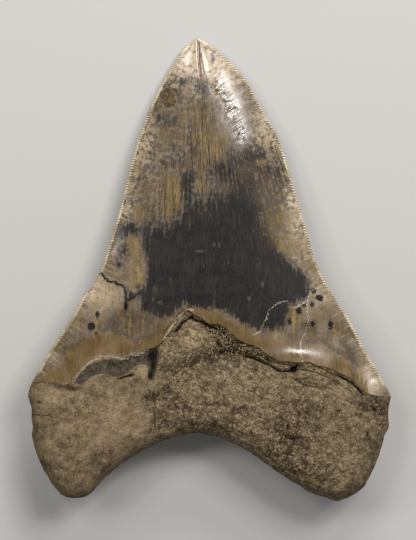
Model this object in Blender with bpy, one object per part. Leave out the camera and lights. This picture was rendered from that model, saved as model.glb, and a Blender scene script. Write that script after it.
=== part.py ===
"""A fossil megalodon tooth, lying on its rounded inner face with the flat outer face up.

The tooth grew as one piece, so it is one solid. It is drawn in its own plane, in millimetres,
with the tip at the top of the sheet, as two sheets that meet all round the rim: the flat outer
face and the rounded inner face. The columns of each sheet run from the tip to the root, and its
rows run across: first those of the crown, down to the edge of the enamel, then those of the root.
The finished sheet is tipped over until the tip and the root both touch the ground.
"""

import math

import bmesh
import bpy
import numpy as np

MM = 0.001

# How finely the two sheets are divided.
COLUMNS = 32
CROWN_ROWS = 46
ROOT_ROWS = 18

# The outline seen from the outer face, in millimetres: x to the right, y towards the tip.
TIP = (-3.4, 70.5)
LEFT_CUTTING_EDGE = [
    TIP, (-5.2, 69.5), (-8.3, 66.5), (-12.2, 60.5), (-15.5, 54.4), (-20.7, 42.3), (-24.3, 30.2),
    (-27.3, 18.0), (-31.0, 5.9), (-34.2, -2.9), (-36.3, -6.3), (-38.0, -7.7), (-40.4, -12.3),
    (-48.3, -24.4), (-53.9, -34.4),
]
RIGHT_CUTTING_EDGE = [
    TIP, (-1.9, 69.6), (2.7, 66.5), (11.1, 57.4), (16.4, 48.3), (21.3, 39.2), (24.3, 30.2),
    (27.0, 21.1), (29.6, 12.0), (32.3, 2.9), (36.7, -6.2), (42.7, -15.3), (47.3, -24.4),
    (52.7, -33.5), (55.2, -38.6),
]
ROOT_LEFT_SIDE = [
    (-53.9, -34.4), (-55.1, -37.4), (-54.3, -44.1), (-53.9, -51.7), (-52.2, -57.7),
    (-48.3, -65.3),
]
ROOT_RIGHT_SIDE = [
    (55.2, -38.6), (54.8, -41.1), (54.8, -46.2), (52.3, -55.0), (50.1, -60.8), (47.5, -65.9),
]
ROOT_LOWER_EDGE = [
    (-48.3, -65.3), (-44.9, -68.8), (-41.0, -69.7), (-36.1, -68.3), (-32.2, -64.1),
    (-21.9, -56.2), (-12.8, -52.0), (-2.8, -50.2), (6.3, -52.6), (13.9, -57.0), (24.5, -64.4),
    (34.2, -69.2), (40.2, -70.5), (44.5, -68.6), (47.5, -65.9),
]
# The lower edge of the enamel on the outer face, which rises to a broken peak in the middle.
ENAMEL_EDGE = [
    (-53.9, -34.4), (-48.3, -33.8), (-42.2, -34.1), (-39.8, -31.7), (-36.1, -28.0),
    (-31.0, -25.9), (-27.0, -26.5), (-21.0, -24.4), (-15.5, -22.6), (-12.5, -19.8),
    (-9.5, -15.0), (-6.4, -12.1), (-4.3, -13.8), (-1.0, -15.6), (3.3, -17.1), (9.3, -21.4),
    (13.9, -22.9), (17.8, -25.9), (24.5, -28.0), (31.1, -28.3), (38.1, -30.5), (42.7, -32.7),
    (46.9, -36.8), (51.1, -38.3), (55.2, -38.6),
]

# The cutting edge: small saw teeth, missing where a length of the left edge has broken away.
SERRATION_PITCH = 0.82
SERRATION_DEPTH = 0.3
BROKEN_EDGE = (-7.6, -1.0)
SHARP_EDGE = math.radians(20.0)

# How far the faces stand from the plane of the cutting edge, up the tooth: (y, millimetres).
OUTER_RISE = [(70.5, 0.3), (60.0, 1.5), (40.0, 2.7), (10.0, 3.6), (-15.0, 4.2), (-40.0, 4.2)]
INNER_DEPTH = [(70.5, 0.8), (60.0, 3.6), (40.0, 7.4), (10.0, 11.2), (-8.0, 13.6), (-40.0, 15.0)]
OUTER_FULLNESS = 0.8
INNER_FULLNESS = 0.85

# The root: a thick pad with rounded sides, deepest on the inner face at a broad swelling.
ROOT_RISE = 3.6
ROOT_DEPTH = 12.5
ROOT_RIM = -4.5
ROOT_OUTER_ROUND = 8.0
ROOT_INNER_ROUND = 14.0
SWELLING_DEPTH = 8.0
SWELLING_CENTRE = -34.0
SWELLING_HALF_WIDTH = 27.0
SWELLING_HALF_HEIGHT = 15.0
NUTRIENT_GROOVE = 1.2
CORNER_BLEND = 7.0

# The broken lower edge of the enamel stands proud of the root, with a crevice under it.
ENAMEL_LEDGE = 1.0
LEDGE_RUN = 0.4
CREVICE_DEPTH = 1.8
CREVICE_WIDTH = 1.6
CREVICE_SPAN = (-14.0, 47.0)

# The groove that runs down the outer face from the tip.
TIP_GROOVE_DEPTH = 0.6
TIP_GROOVE_LENGTH = 14.0
TIP_GROOVE_HALF_WIDTH = 1.3

# Lumps and ledges of the root's rough surface.
LUMP_HEIGHT = 0.5
LEDGE_HEIGHT = 0.9
LEDGE_PITCH = 3.2

# Hollows in the outer face of the root: (x, y, half width, half height, depth).
HOLLOWS = [
    (26.0, -30.0, 1.8, 1.6, 2.2),
    (-40.5, -36.6, 4.0, 1.7, 0.9),
    (-25.0, -32.0, 3.5, 1.2, 0.9),
    (-16.7, -28.5, 1.4, 4.5, 1.0),
    (-16.4, -42.5, 1.3, 5.0, 0.8),
    (26.0, -50.0, 3.0, 2.5, 0.9),
    (2.0, -25.0, 5.0, 2.0, 0.7),
]

# How it lies: on the tip and on the swelling, each worn flat by a fraction of a millimetre.
TIP_REST = (-2.8, 61.0)
ROOT_REST = (16.0, -31.0)
WORN = 0.35


def through(places, where):
    """A smooth curve through (at, value) places: a cubic between each two, level with its chords."""
    at, values = np.array(places, float).T
    order = np.argsort(at)
    at, values = at[order], values[order]
    slopes = np.gradient(values, at)
    i = np.clip(np.searchsorted(at, where, side="right") - 1, 0, len(at) - 2)
    gap = at[i + 1] - at[i]
    t = np.clip((where - at[i]) / gap, 0.0, 1.0)
    rise = (3.0 - 2.0 * t) * t * t
    return (
        values[i] + (values[i + 1] - values[i]) * rise
        + gap * (slopes[i] * t * (1.0 - t) ** 2 - slopes[i + 1] * t * t * (1.0 - t))
    )


def along(points, share):
    """Places on the smooth curve through the points, at shares of its length from 0 to 1."""
    points = np.array(points, float)
    steps = np.hypot(*np.diff(points, axis=0).T)
    at = np.concatenate([[0.0], np.cumsum(steps)])
    where = np.asarray(share, float) * at[-1]
    return np.stack([through(np.stack([at, axis], 1), where) for axis in points.T], -1)


def smooth_step(value, low, high):
    """0 below low and 1 above high, with a smooth rise between."""
    t = np.clip((value - low) / (high - low), 0.0, 1.0)
    return t * t * (3.0 - 2.0 * t)


def between(left, right, share):
    return left + (right - left) * share[..., None]


def off_middle(place):
    """How far across the tooth a place is at its own height: -1 and 1 on the two edges."""
    x, y = place.T
    left = through([(b, a) for a, b in LEFT_CUTTING_EDGE[:-1] + ROOT_LEFT_SIDE], y)
    right = through([(b, a) for a, b in RIGHT_CUTTING_EDGE[:-1] + ROOT_RIGHT_SIDE], y)
    half = np.maximum((right - left) / 2.0, 0.1)
    return np.clip((x - (left + right) / 2.0) / half, -1.0, 1.0)


def crown_places(across, down):
    """The crown's place at shares across and down: a straight chord between the cutting edges,
    pulled down towards the edge of the enamel as the rows near it."""
    left = along(LEFT_CUTTING_EDGE, down)
    right = along(RIGHT_CUTTING_EDGE, down)
    place = between(left, right, across)
    last_left, last_right = np.array(LEFT_CUTTING_EDGE[-1]), np.array(RIGHT_CUTTING_EDGE[-1])
    chord = between(last_left, last_right, across)
    enamel = through(ENAMEL_EDGE, chord[..., 0])
    place[..., 1] += (enamel - chord[..., 1]) * down ** 3
    return place


def root_places(across, down):
    """The root's place at shares across and down: the four-sided patch that its left side, its
    right side, the edge of the enamel and its lower edge bound."""
    left = along(ROOT_LEFT_SIDE, down)
    right = along(ROOT_RIGHT_SIDE, down)
    place = between(left, right, across)
    for side, edge, weight in ((0, ENAMEL_EDGE, 1.0 - down), (-1, ROOT_LOWER_EDGE, down)):
        chord = between(
            np.array(ROOT_LEFT_SIDE[side]), np.array(ROOT_RIGHT_SIDE[side]), across
        )
        place[..., 1] += (through(edge, chord[..., 0]) - chord[..., 1]) * weight
    return place


def outline():
    """Points close together all round the tooth."""
    share = np.linspace(0.0, 1.0, 160)
    sides = (
        LEFT_CUTTING_EDGE, RIGHT_CUTTING_EDGE, ROOT_LEFT_SIDE, ROOT_RIGHT_SIDE, ROOT_LOWER_EDGE
    )
    return np.concatenate([along(side, share) for side in sides])


def distance_to_rim(place):
    """How far each place is from the outline."""
    rim = outline()
    gaps = place[:, None, :] - rim[None, :, :]
    return np.sqrt((gaps ** 2).sum(-1).min(1))


def quarter_round(distance, radius):
    """0 at the rim, rising along a quarter circle to 1 at the radius."""
    t = np.clip(distance / radius, 0.0, 1.0)
    return np.sqrt(1.0 - (1.0 - t) ** 2)


def swelling(x, y):
    """The broad swelling of the root's inner face, with a shallow groove down its middle."""
    width = np.exp(-np.abs(x / SWELLING_HALF_WIDTH) ** 4)
    height = np.exp(-((y - SWELLING_CENTRE) / SWELLING_HALF_HEIGHT) ** 2)
    groove = np.exp(-(x / 7.0) ** 2) * np.exp(-((y + 30.0) / 12.0) ** 2)
    return SWELLING_DEPTH * width * height - NUTRIENT_GROOVE * groove


def lumps(x, y):
    """Uneven ground: three crossing waves of unlike lengths."""
    return LUMP_HEIGHT * (
        np.sin(0.61 * x + 0.9 * np.sin(0.37 * y)) * np.sin(0.53 * y + 0.7)
        + 0.6 * np.sin(1.31 * x - 0.83 * y)
        + 0.4 * np.sin(0.47 * x + 1.77 * y + 1.1)
    )


def hollows(x, y):
    """Pits and cracks in the outer face of the root, each a rounded dip."""
    return sum(
        depth * np.exp(-((x - at_x) / wide) ** 2 - ((y - at_y) / tall) ** 2)
        for at_x, at_y, wide, tall, depth in HOLLOWS
    )


def root_ledges(x, below):
    """Thin ledges on the right of the root, which run level with the edge of the enamel."""
    here = smooth_step(x, 20.0, 30.0) * smooth_step(below, 2.0, 4.0)
    here *= smooth_step(-below, -15.0, -9.0)
    step = np.mod(below, LEDGE_PITCH) / LEDGE_PITCH
    return LEDGE_HEIGHT * here * (0.5 - step)


def crevice(x, below):
    """The dark crevice that runs just under the enamel's broken edge."""
    low, high = CREVICE_SPAN
    here = smooth_step(x, low, low + 5.0) * smooth_step(-x, -high, -high + 8.0)
    return CREVICE_DEPTH * here * np.exp(-((below - 0.9) / CREVICE_WIDTH) ** 2)


def tip_groove(x, y):
    """A shallow groove that leaves the tip and fades down the outer face."""
    down = TIP[1] - y
    fade = smooth_step(down, 0.5, 3.0) * smooth_step(-down, -TIP_GROOVE_LENGTH, -4.0)
    return TIP_GROOVE_DEPTH * fade * np.exp(-((x - TIP[0]) / TIP_GROOVE_HALF_WIDTH) ** 2)


def rim_height(y, x):
    """The rim's height: the crown's cutting edge is the zero, and the root's rim drops below it."""
    corner = np.where(x < 0.0, LEFT_CUTTING_EDGE[-1][1], RIGHT_CUTTING_EDGE[-1][1])
    return ROOT_RIM * smooth_step(corner - y, -1.0, CORNER_BLEND)


def outer_height(place, in_root, rim_gap):
    """The outer face's height above the plane of the cutting edge."""
    x, y = place.T
    below = through(ENAMEL_EDGE, x) - y
    lens = (1.0 - off_middle(place) ** 2) ** OUTER_FULLNESS
    crown = through(OUTER_RISE, y) * lens - tip_groove(x, y)
    pad = rim_height(y, x)
    root = pad + (ROOT_RISE - pad) * quarter_round(rim_gap, ROOT_OUTER_ROUND)
    inside = smooth_step(rim_gap, 0.0, 3.0)
    root += inside * (lumps(x, y) + root_ledges(x, below) - hollows(x, y))
    rooted = smooth_step(below, -6.0, 6.0)
    height = crown + (root - crown) * rooted
    drop = inside * (ENAMEL_LEDGE * smooth_step(-below, -9.0, 0.0) + crevice(x, below))
    return np.where(in_root, height - drop, height)


def inner_height(place, in_root, rim_gap):
    """The inner face's height, below the plane of the cutting edge."""
    x, y = place.T
    crown = -through(INNER_DEPTH, y) * (1.0 - off_middle(place) ** 2) ** INNER_FULLNESS
    pad = rim_height(y, x)
    floor = -(ROOT_DEPTH + swelling(x, y))
    root = pad + (floor - pad) * quarter_round(rim_gap, ROOT_INNER_ROUND)
    rough = smooth_step(rim_gap, 0.0, 3.0) * (1.0 - swelling(x, y) / SWELLING_DEPTH)
    root -= 0.8 * rough * lumps(x + 9.0, y)
    line = -6.0 - 0.5 * np.abs(x)
    rooted = smooth_step(line - y, -9.0, 9.0)
    return crown + (root - crown) * rooted


def sheet_shares(verts):
    """Each vertex's share across, its row counted from the tip, and its share down its block."""
    flat = np.array([v.co[:2] for v in verts])
    column = np.round((flat[:, 0] + 1.0) / 2.0 * COLUMNS)
    rows = CROWN_ROWS + 1 + ROOT_ROWS
    row = np.round((1.0 - flat[:, 1]) / 2.0 * rows)
    across = (1.0 - np.cos(math.pi * column / COLUMNS)) / 2.0
    in_root = row > CROWN_ROWS
    crown_share = np.clip(row / CROWN_ROWS, 0.0, 1.0)
    step = np.clip((row - CROWN_ROWS - 1) / ROOT_ROWS, 0.0, 1.0)
    first = LEDGE_RUN / 35.0
    root_share = first + (1.0 - first) * (1.0 - np.cos(math.pi * step)) / 2.0
    return across, in_root, crown_share, root_share


def make_sheet(bm, face_height):
    """One face of the tooth: a flat grid whose vertices are moved onto the surface."""
    made = bmesh.ops.create_grid(
        bm, x_segments=COLUMNS, y_segments=CROWN_ROWS + 1 + ROOT_ROWS, size=1.0
    )
    verts = made["verts"]
    across, in_root, crown_share, root_share = sheet_shares(verts)
    place = np.where(
        in_root[:, None], root_places(across, root_share), crown_places(across, crown_share)
    )
    rim_gap = distance_to_rim(place)
    on_rim = (across < 1e-9) | (across > 1.0 - 1e-9) | (root_share > 1.0 - 1e-9) & in_root
    on_rim |= (crown_share < 1e-9) & ~in_root
    rim_gap[on_rim] = 0.0
    height = face_height(place, in_root, rim_gap)
    x, y = place.T
    height[on_rim] = rim_height(y, x)[on_rim]
    for vert, spot, level in zip(verts, place, height):
        vert.co = (spot[0], spot[1], level)


def on_cutting_edge(edge):
    """Whether an edge of the welded tooth is where the two faces of the crown meet."""
    corner = min(LEFT_CUTTING_EDGE[-1][1], RIGHT_CUTTING_EDGE[-1][1])
    level = all(abs(v.co.z) < 1e-6 and v.co.y > corner for v in edge.verts)
    return level and edge.calc_face_angle(0.0) > SHARP_EDGE


def cut_serrations(bm):
    """Saw teeth along both cutting edges: each length of edge is divided at every peak and every
    valley, and the valleys are pulled into the tooth."""
    rim = [edge for edge in bm.edges if on_cutting_edge(edge)]
    for edge in rim:
        start, end = (v.co.copy() for v in edge.verts)
        if BROKEN_EDGE[0] < (start.y + end.y) / 2 < BROKEN_EDGE[1] and start.x < 0:
            continue
        teeth = max(1, round((end - start).length / SERRATION_PITCH))
        made = bmesh.ops.subdivide_edges(bm, edges=[edge], cuts=2 * teeth - 1)
        new = [v for v in made["geom_inner"] if isinstance(v, bmesh.types.BMVert)]
        new.sort(key=lambda v: (v.co - start).length)
        inward = (end - start).cross((0.0, 0.0, 1.0)).normalized()
        if inward.x * (TIP[0] - start.x) < 0:
            inward.negate()
        for valley in new[::2]:
            valley.co += inward * SERRATION_DEPTH


def lay_down(bm):
    """Tips the tooth over until it rests on the tip and the swelling, and wears both flat."""
    tip_depth = -through(INNER_DEPTH, TIP_REST[1])
    root_depth = -(ROOT_DEPTH + swelling(*ROOT_REST))
    tilt = math.atan2(tip_depth - root_depth, TIP_REST[1] - ROOT_REST[1])
    turn = np.array([
        [1.0, 0.0, 0.0],
        [0.0, math.cos(tilt), math.sin(tilt)],
        [0.0, -math.sin(tilt), math.cos(tilt)],
    ])
    spots = np.array([v.co for v in bm.verts]) @ turn.T
    low, high = spots.min(0), spots.max(0)
    spots -= [(low[0] + high[0]) / 2, (low[1] + high[1]) / 2, low[2] + WORN]
    spots[:, 2] = np.maximum(spots[:, 2], 0.0)
    for vert, spot in zip(bm.verts, spots):
        vert.co = spot * MM


def paint(name, colour, roughness):
    material = bpy.data.materials.new(name)
    material.use_nodes = True
    shader = material.node_tree.nodes["Principled BSDF"]
    shader.inputs["Base Color"].default_value = (*colour, 1.0)
    shader.inputs["Roughness"].default_value = roughness
    return material


def make_tooth(collection):
    bm = bmesh.new()
    make_sheet(bm, outer_height)
    make_sheet(bm, inner_height)
    bmesh.ops.remove_doubles(bm, verts=bm.verts, dist=1e-4)
    bmesh.ops.recalc_face_normals(bm, faces=bm.faces)
    cut_serrations(bm)
    lay_down(bm)
    bmesh.ops.triangulate(bm, faces=bm.faces)
    mesh = bpy.data.meshes.new("tooth")
    bm.to_mesh(mesh)
    bm.free()
    mesh.shade_smooth()
    mesh.set_sharp_from_angle(angle=math.radians(35.0))
    tooth = bpy.data.objects.new("tooth", mesh)
    mesh.materials.append(paint("fossil enamel", (0.09, 0.075, 0.055), 0.3))
    collection.objects.link(tooth)


def main():
    for old in list(bpy.data.objects):
        bpy.data.objects.remove(old)
    collection = bpy.data.collections.new("megalodon tooth")
    bpy.context.scene.collection.children.link(collection)
    make_tooth(collection)


main()
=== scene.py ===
# %% [markdown]
# # A fossil megalodon tooth
#
# The tooth is one piece that grew as one piece: a flat-faced crown of glossy enamel with saw
# teeth along both edges, on a thick root with two lobes. It lies on its rounded inner face, so
# that the flat outer face looks up. The solid tooth is loaded first as a fixed frame: its tip
# gives the finished surface its place, and it is kept in the scene but hidden. The finished
# surface has to stay inside it.

# %% Load the solid tooth
import math

import bmesh
import bpy
import numpy as np
from mathutils import Matrix, Vector


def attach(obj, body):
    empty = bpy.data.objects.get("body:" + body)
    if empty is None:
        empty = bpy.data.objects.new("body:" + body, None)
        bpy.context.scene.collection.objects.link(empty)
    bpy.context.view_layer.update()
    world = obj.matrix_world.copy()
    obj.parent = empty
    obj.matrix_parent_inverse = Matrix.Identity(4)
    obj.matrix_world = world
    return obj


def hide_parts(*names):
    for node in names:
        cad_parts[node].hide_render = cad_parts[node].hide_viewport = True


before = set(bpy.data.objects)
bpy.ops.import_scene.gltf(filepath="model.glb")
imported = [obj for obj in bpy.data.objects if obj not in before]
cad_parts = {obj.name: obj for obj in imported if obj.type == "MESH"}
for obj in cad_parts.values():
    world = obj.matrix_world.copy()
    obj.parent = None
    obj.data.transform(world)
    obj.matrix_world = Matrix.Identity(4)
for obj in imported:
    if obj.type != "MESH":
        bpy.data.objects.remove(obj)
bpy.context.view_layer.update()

MM = 0.001

# %% [markdown]
# ## The outline
#
# Seen square on, the tooth has five edges: two cutting edges that start at the tip, the two sides
# of the root, and the root's lower edge with the notch between its lobes. A sixth line crosses
# the outer face: the broken lower edge of the enamel. Each could be a Bezier curve object, but
# the surface below needs many thousand places on them at once. So each is a short list of places
# in millimetres, and numpy reads a smooth curve through them.

# %% Places on the outline, in millimetres
TIP = (-3.4, 70.5)
LEFT_CUTTING_EDGE = [
    TIP, (-5.2, 69.5), (-8.3, 66.5), (-12.2, 60.5), (-15.5, 54.4), (-20.7, 42.3), (-24.3, 30.2),
    (-27.3, 18.0), (-31.0, 5.9), (-34.2, -2.9), (-36.3, -6.3), (-38.0, -7.7), (-40.4, -12.3),
    (-48.3, -24.4), (-53.9, -34.4),
]
RIGHT_CUTTING_EDGE = [
    TIP, (-1.9, 69.6), (2.7, 66.5), (11.1, 57.4), (16.4, 48.3), (21.3, 39.2), (24.3, 30.2),
    (27.0, 21.1), (29.6, 12.0), (32.3, 2.9), (36.7, -6.2), (42.7, -15.3), (47.3, -24.4),
    (52.7, -33.5), (55.2, -38.6),
]
ROOT_LEFT_SIDE = [
    (-53.9, -34.4), (-55.1, -37.4), (-54.3, -44.1), (-53.9, -51.7), (-52.2, -57.7),
    (-48.3, -65.3),
]
ROOT_RIGHT_SIDE = [
    (55.2, -38.6), (54.8, -41.1), (54.8, -46.2), (52.3, -55.0), (50.1, -60.8), (47.5, -65.9),
]
ROOT_LOWER_EDGE = [
    (-48.3, -65.3), (-44.9, -68.8), (-41.0, -69.7), (-36.1, -68.3), (-32.2, -64.1),
    (-21.9, -56.2), (-12.8, -52.0), (-2.8, -50.2), (6.3, -52.6), (13.9, -57.0), (24.5, -64.4),
    (34.2, -69.2), (40.2, -70.5), (44.5, -68.6), (47.5, -65.9),
]
ENAMEL_EDGE = [
    (-53.9, -34.4), (-48.3, -33.8), (-42.2, -34.1), (-39.8, -31.7), (-36.1, -28.0),
    (-31.0, -25.9), (-27.0, -26.5), (-21.0, -24.4), (-15.5, -22.6), (-12.5, -19.8),
    (-9.5, -15.0), (-6.4, -12.1), (-4.3, -13.8), (-1.0, -15.6), (3.3, -17.1), (9.3, -21.4),
    (13.9, -22.9), (17.8, -25.9), (24.5, -28.0), (31.1, -28.3), (38.1, -30.5), (42.7, -32.7),
    (46.9, -36.8), (51.1, -38.3), (55.2, -38.6),
]

# %% Smooth curves through places


def through(places, where):
    """Between two places the value follows a cubic, whose slope at each place is that of the
    parabola through the place and its two neighbours."""
    at, values = np.array(places, float).T
    order = np.argsort(at)
    at, values = at[order], values[order]
    slopes = np.gradient(values, at)
    i = np.clip(np.searchsorted(at, where, side="right") - 1, 0, len(at) - 2)
    gap = at[i + 1] - at[i]
    t = np.clip((where - at[i]) / gap, 0.0, 1.0)
    rise = (3.0 - 2.0 * t) * t * t
    return (
        values[i] + (values[i + 1] - values[i]) * rise
        + gap * (slopes[i] * t * (1.0 - t) ** 2 - slopes[i + 1] * t * t * (1.0 - t))
    )


def x_at(points, y):
    """The curve through places one below the other, read across: its x at each y."""
    return through([(b, a) for a, b in points], y)


def along(points, share):
    """x and y each follow `through`, read at a share of the length of the line of points."""
    points = np.array(points, float)
    steps = np.hypot(*np.diff(points, axis=0).T)
    at = np.concatenate([[0.0], np.cumsum(steps)])
    where = np.asarray(share, float) * at[-1]
    return np.stack([through(np.stack([at, axis], 1), where) for axis in points.T], -1)


def smooth_step(value, low, high):
    """0 below low, 1 above high, and 3t^2 - 2t^3 between, with t the share of the way."""
    t = np.clip((value - low) / (high - low), 0.0, 1.0)
    return t * t * (3.0 - 2.0 * t)


for name, edge in (("left", LEFT_CUTTING_EDGE), ("right", RIGHT_CUTTING_EDGE)):
    walked = np.hypot(*np.diff(along(edge, np.linspace(0.0, 1.0, 200)), axis=0).T).sum()
    print(f"{name} cutting edge {walked:.0f} mm")

# %% [markdown]
# ## Rough ground without a texture
#
# Fossil dentine is lumpy, fibrous and pitted, and a broken enamel edge is ragged. A Displace
# modifier with a texture could do it, but it can't know where the enamel ends. So the roughness
# is worked out where the height is: a lattice of fixed random heights, blended smoothly between
# its points, and summed at finer and finer sizes.

# %% Value noise in whole arrays
EDGE_RAGGEDNESS = 0.45


def lattice(i, j, seed):
    """The fraction part of a large multiple of a sine: a fixed random number from 0 to 1."""
    return np.mod(np.sin(i * 12.9898 + j * 78.233 + seed * 37.719) * 43758.5453, 1.0)


def noise(x, y, seed):
    """The four lattice numbers round a place, blended by 3t^2 - 2t^3 both ways: from -1 to 1."""
    i, j = np.floor(x), np.floor(y)
    s, t = smooth_step(x - i, 0.0, 1.0), smooth_step(y - j, 0.0, 1.0)
    low = lattice(i, j, seed) * (1.0 - s) + lattice(i + 1, j, seed) * s
    high = lattice(i, j + 1, seed) * (1.0 - s) + lattice(i + 1, j + 1, seed) * s
    return 2.0 * (low * (1.0 - t) + high * t) - 1.0


def rough(x, y, size, octaves, seed):
    """Noise at a size in millimetres plus half as much at half the size, and so on."""
    total = np.zeros(np.broadcast(x, y).shape)
    for octave in range(octaves):
        scale = 2.0 ** octave / size
        total += noise(x * scale, y * scale, seed + 11 * octave) / 2.0 ** octave
    return total


def enamel_line(x):
    """The lower edge of the enamel at x: the smooth line, made ragged by a few tenths of a
    millimetre, but left alone at its two ends on the cutting edges."""
    inside = smooth_step(x, -52.0, -46.0) * smooth_step(-x, -53.0, -47.0)
    return through(ENAMEL_EDGE, x) + EDGE_RAGGEDNESS * inside * rough(x, 0.0 * x, 3.0, 4, 3)


xs = np.linspace(-50.0, 50.0, 500)
strayed = np.abs(enamel_line(xs) - through(ENAMEL_EDGE, xs)).max()
print(f"the enamel's edge strays up to {strayed:.2f} mm")


# %% [markdown]
# ## Two sheets of rows and columns
#
# The tooth is two sheets, the flat outer face and the rounded inner face, that meet at the rim.
# Rows run across from rim to rim, and columns run from the tip to the end of the root. In the
# crown a row is a straight chord that bends down as it nears the edge of the enamel, so that the
# last row lies on it. The root is the four-sided patch below. Near the cutting edges the rows are
# three times closer, six to each saw tooth, and faces with many corners join them to the wider
# rows inside. A subdivided box couldn't put its edges along the enamel or the saw teeth.

# %% How the sheets are divided
SAW_TEETH = 150
ROWS_PER_SAW_TOOTH = 6
FINE_ROWS = SAW_TEETH * ROWS_PER_SAW_TOOTH
FINE_PER_ROW = {"outer": 3, "inner": 15}
BAND = np.array([0.0, 0.35, 0.75, 1.25, 2.0])
INNER_COLUMNS = 160
ROOT_ROWS = 58
ROOT_WIDTH = 110.0
ROOT_HEIGHT = 35.0
ROW_BUNCHING = 0.06
LEDGE_RUN = 0.15
NARROWEST_BAND = 10.0
print(f"{FINE_ROWS} fine rows, {INNER_COLUMNS + 2 * len(BAND) - 1} columns, {ROOT_ROWS} root rows")


def between(left, right, share):
    """A straight chord from left to right, read at shares of its length."""
    return left + (right - left) * share[..., None]


def crown_places(across, down):
    """The chord between the cutting edges at a share down them both. The cube of that share
    times the enamel's distance from the last chord is added to y."""
    place = between(along(LEFT_CUTTING_EDGE, down), along(RIGHT_CUTTING_EDGE, down), across)
    chord = between(
        np.array(LEFT_CUTTING_EDGE[-1]), np.array(RIGHT_CUTTING_EDGE[-1]), across
    )
    place[..., 1] += (enamel_line(chord[..., 0]) - chord[..., 1]) * down ** 3
    return place


def root_places(across, down):
    """The chord between the root's sides. The enamel's distance from the top chord fades out
    on the way down, and the lower edge's distance from the bottom chord fades in."""
    place = between(along(ROOT_LEFT_SIDE, down), along(ROOT_RIGHT_SIDE, down), across)
    top = between(np.array(ROOT_LEFT_SIDE[0]), np.array(ROOT_RIGHT_SIDE[0]), across)
    low = between(np.array(ROOT_LEFT_SIDE[-1]), np.array(ROOT_RIGHT_SIDE[-1]), across)
    place[..., 1] += (enamel_line(top[..., 0]) - top[..., 1]) * (1.0 - down)
    place[..., 1] += (through(ROOT_LOWER_EDGE, low[..., 0]) - low[..., 1]) * down
    return place


def band_share(down):
    """The band's columns as shares of the chord at a share down the crown: their distances in
    millimetres over its width, which counts as at least ten so that they fit near the tip."""
    width = along(RIGHT_CUTTING_EDGE, down)[..., 0] - along(LEFT_CUTTING_EDGE, down)[..., 0]
    return BAND / np.maximum(width, NARROWEST_BAND)


def inner_share(down):
    """The columns between the two bands, evenly spaced."""
    edge = band_share(down)[..., -1:]
    step = np.arange(1, INNER_COLUMNS) / INNER_COLUMNS
    return edge + (1.0 - 2.0 * edge) * step


def root_shares():
    """All columns across, and the rows down: closer together near the enamel and the rim."""
    down = np.array([[1.0]])
    band, inner = band_share(down)[0], inner_share(down)[0]
    across = np.concatenate([band, inner, 1.0 - band[::-1]])
    step = np.linspace(0.0, 1.0, ROOT_ROWS + 1)
    first = LEDGE_RUN / ROOT_HEIGHT
    rows = first + (1.0 - first) * (step - ROW_BUNCHING * np.sin(2.0 * math.pi * step))
    return across, rows


# %% [markdown]
# ## Saw teeth
#
# The cutting edges carry fine saw teeth about 0.8 mm apart. Each is a small rounded lobe, and the
# nicks between them run a millimetre and a half up the bevel. On the left edge one length has
# broken away. Booleans with 300 cutters would be slow, so the rim's own rows are pulled inwards
# in step with the saw teeth.

# %% Nicks along the cutting edges
NICK_DEPTH = 0.34
WORN_STRETCHES = 37.0
BROKEN_EDGE = (-7.8, -0.8)
print(f"saw teeth {walked / SAW_TEETH:.2f} mm apart")


def serrated(down, side):
    """1 where a cutting edge has saw teeth. It fades at both ends of the edge, and is 0 where
    the left edge is broken."""
    y = along(LEFT_CUTTING_EDGE if side < 0 else RIGHT_CUTTING_EDGE, down)[..., 1]
    ends = smooth_step(down, 0.0, 0.01) * smooth_step(-down, -0.985, -0.94)
    low, high = BROKEN_EDGE
    broken = smooth_step(y, low - 0.4, low + 0.2) * smooth_step(-y, -high - 0.4, 0.2 - high)
    return ends * (1.0 - broken) if side < 0 else ends


def nick(down, side):
    """How deep in a nick each row is: the square of a sine that has one hump for each saw
    tooth, uneven from wear."""
    hump = np.sin(math.pi * down * SAW_TEETH) ** 2
    worn = 0.75 + 0.3 * noise(down * WORN_STRETCHES, 0.0 * down + side, 5)
    return hump * worn * serrated(down, side)


def inward(down, side):
    """The direction into the tooth: the cutting edge's slope turned a quarter round."""
    edge = LEFT_CUTTING_EDGE if side < 0 else RIGHT_CUTTING_EDGE
    step = 0.002
    ahead = along(edge, np.minimum(down + step, 1.0))
    slope = ahead - along(edge, np.maximum(down - step, 0.0))
    slope /= np.hypot(slope[..., 0], slope[..., 1])[..., None]
    return np.stack([-slope[..., 1], slope[..., 0]], -1) * (-1.0 if side > 0 else 1.0)


# %% [markdown]
# ## Heights of the two faces
#
# Every height is measured from the plane of the cutting edges. The outer face is nearly flat and
# the inner face is a deep curve: both are lenses whose thickness follows a curve down the tooth.
# The root is a thick pad with rounded sides, and the inner face swells where it was thickest.
# Sculpting could do this, but a formula keeps the surface on the solid tooth that carries it.

# %% The crown's two lenses and the root's pad
OUTER_RISE = [(70.5, 0.3), (60.0, 1.5), (40.0, 2.7), (10.0, 3.6), (-15.0, 4.2), (-40.0, 4.2)]
INNER_DEPTH = [(70.5, 0.8), (60.0, 3.6), (40.0, 7.4), (10.0, 11.2), (-8.0, 13.6), (-40.0, 15.0)]
OUTER_FULLNESS = 0.8
INNER_FULLNESS = 0.85
ROOT_RISE = 3.6
ROOT_DEPTH = 12.5
ROOT_RIM = -4.5
ROOT_OUTER_ROUND = 8.0
ROOT_INNER_ROUND = 14.0
SWELLING_DEPTH = 8.0
SWELLING_CENTRE = -34.0
SWELLING_HALF_WIDTH = 27.0
SWELLING_HALF_HEIGHT = 15.0
NUTRIENT_GROOVE = 1.2
CORNER_BLEND = 7.0
LUMP_HEIGHT = 0.5


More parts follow.
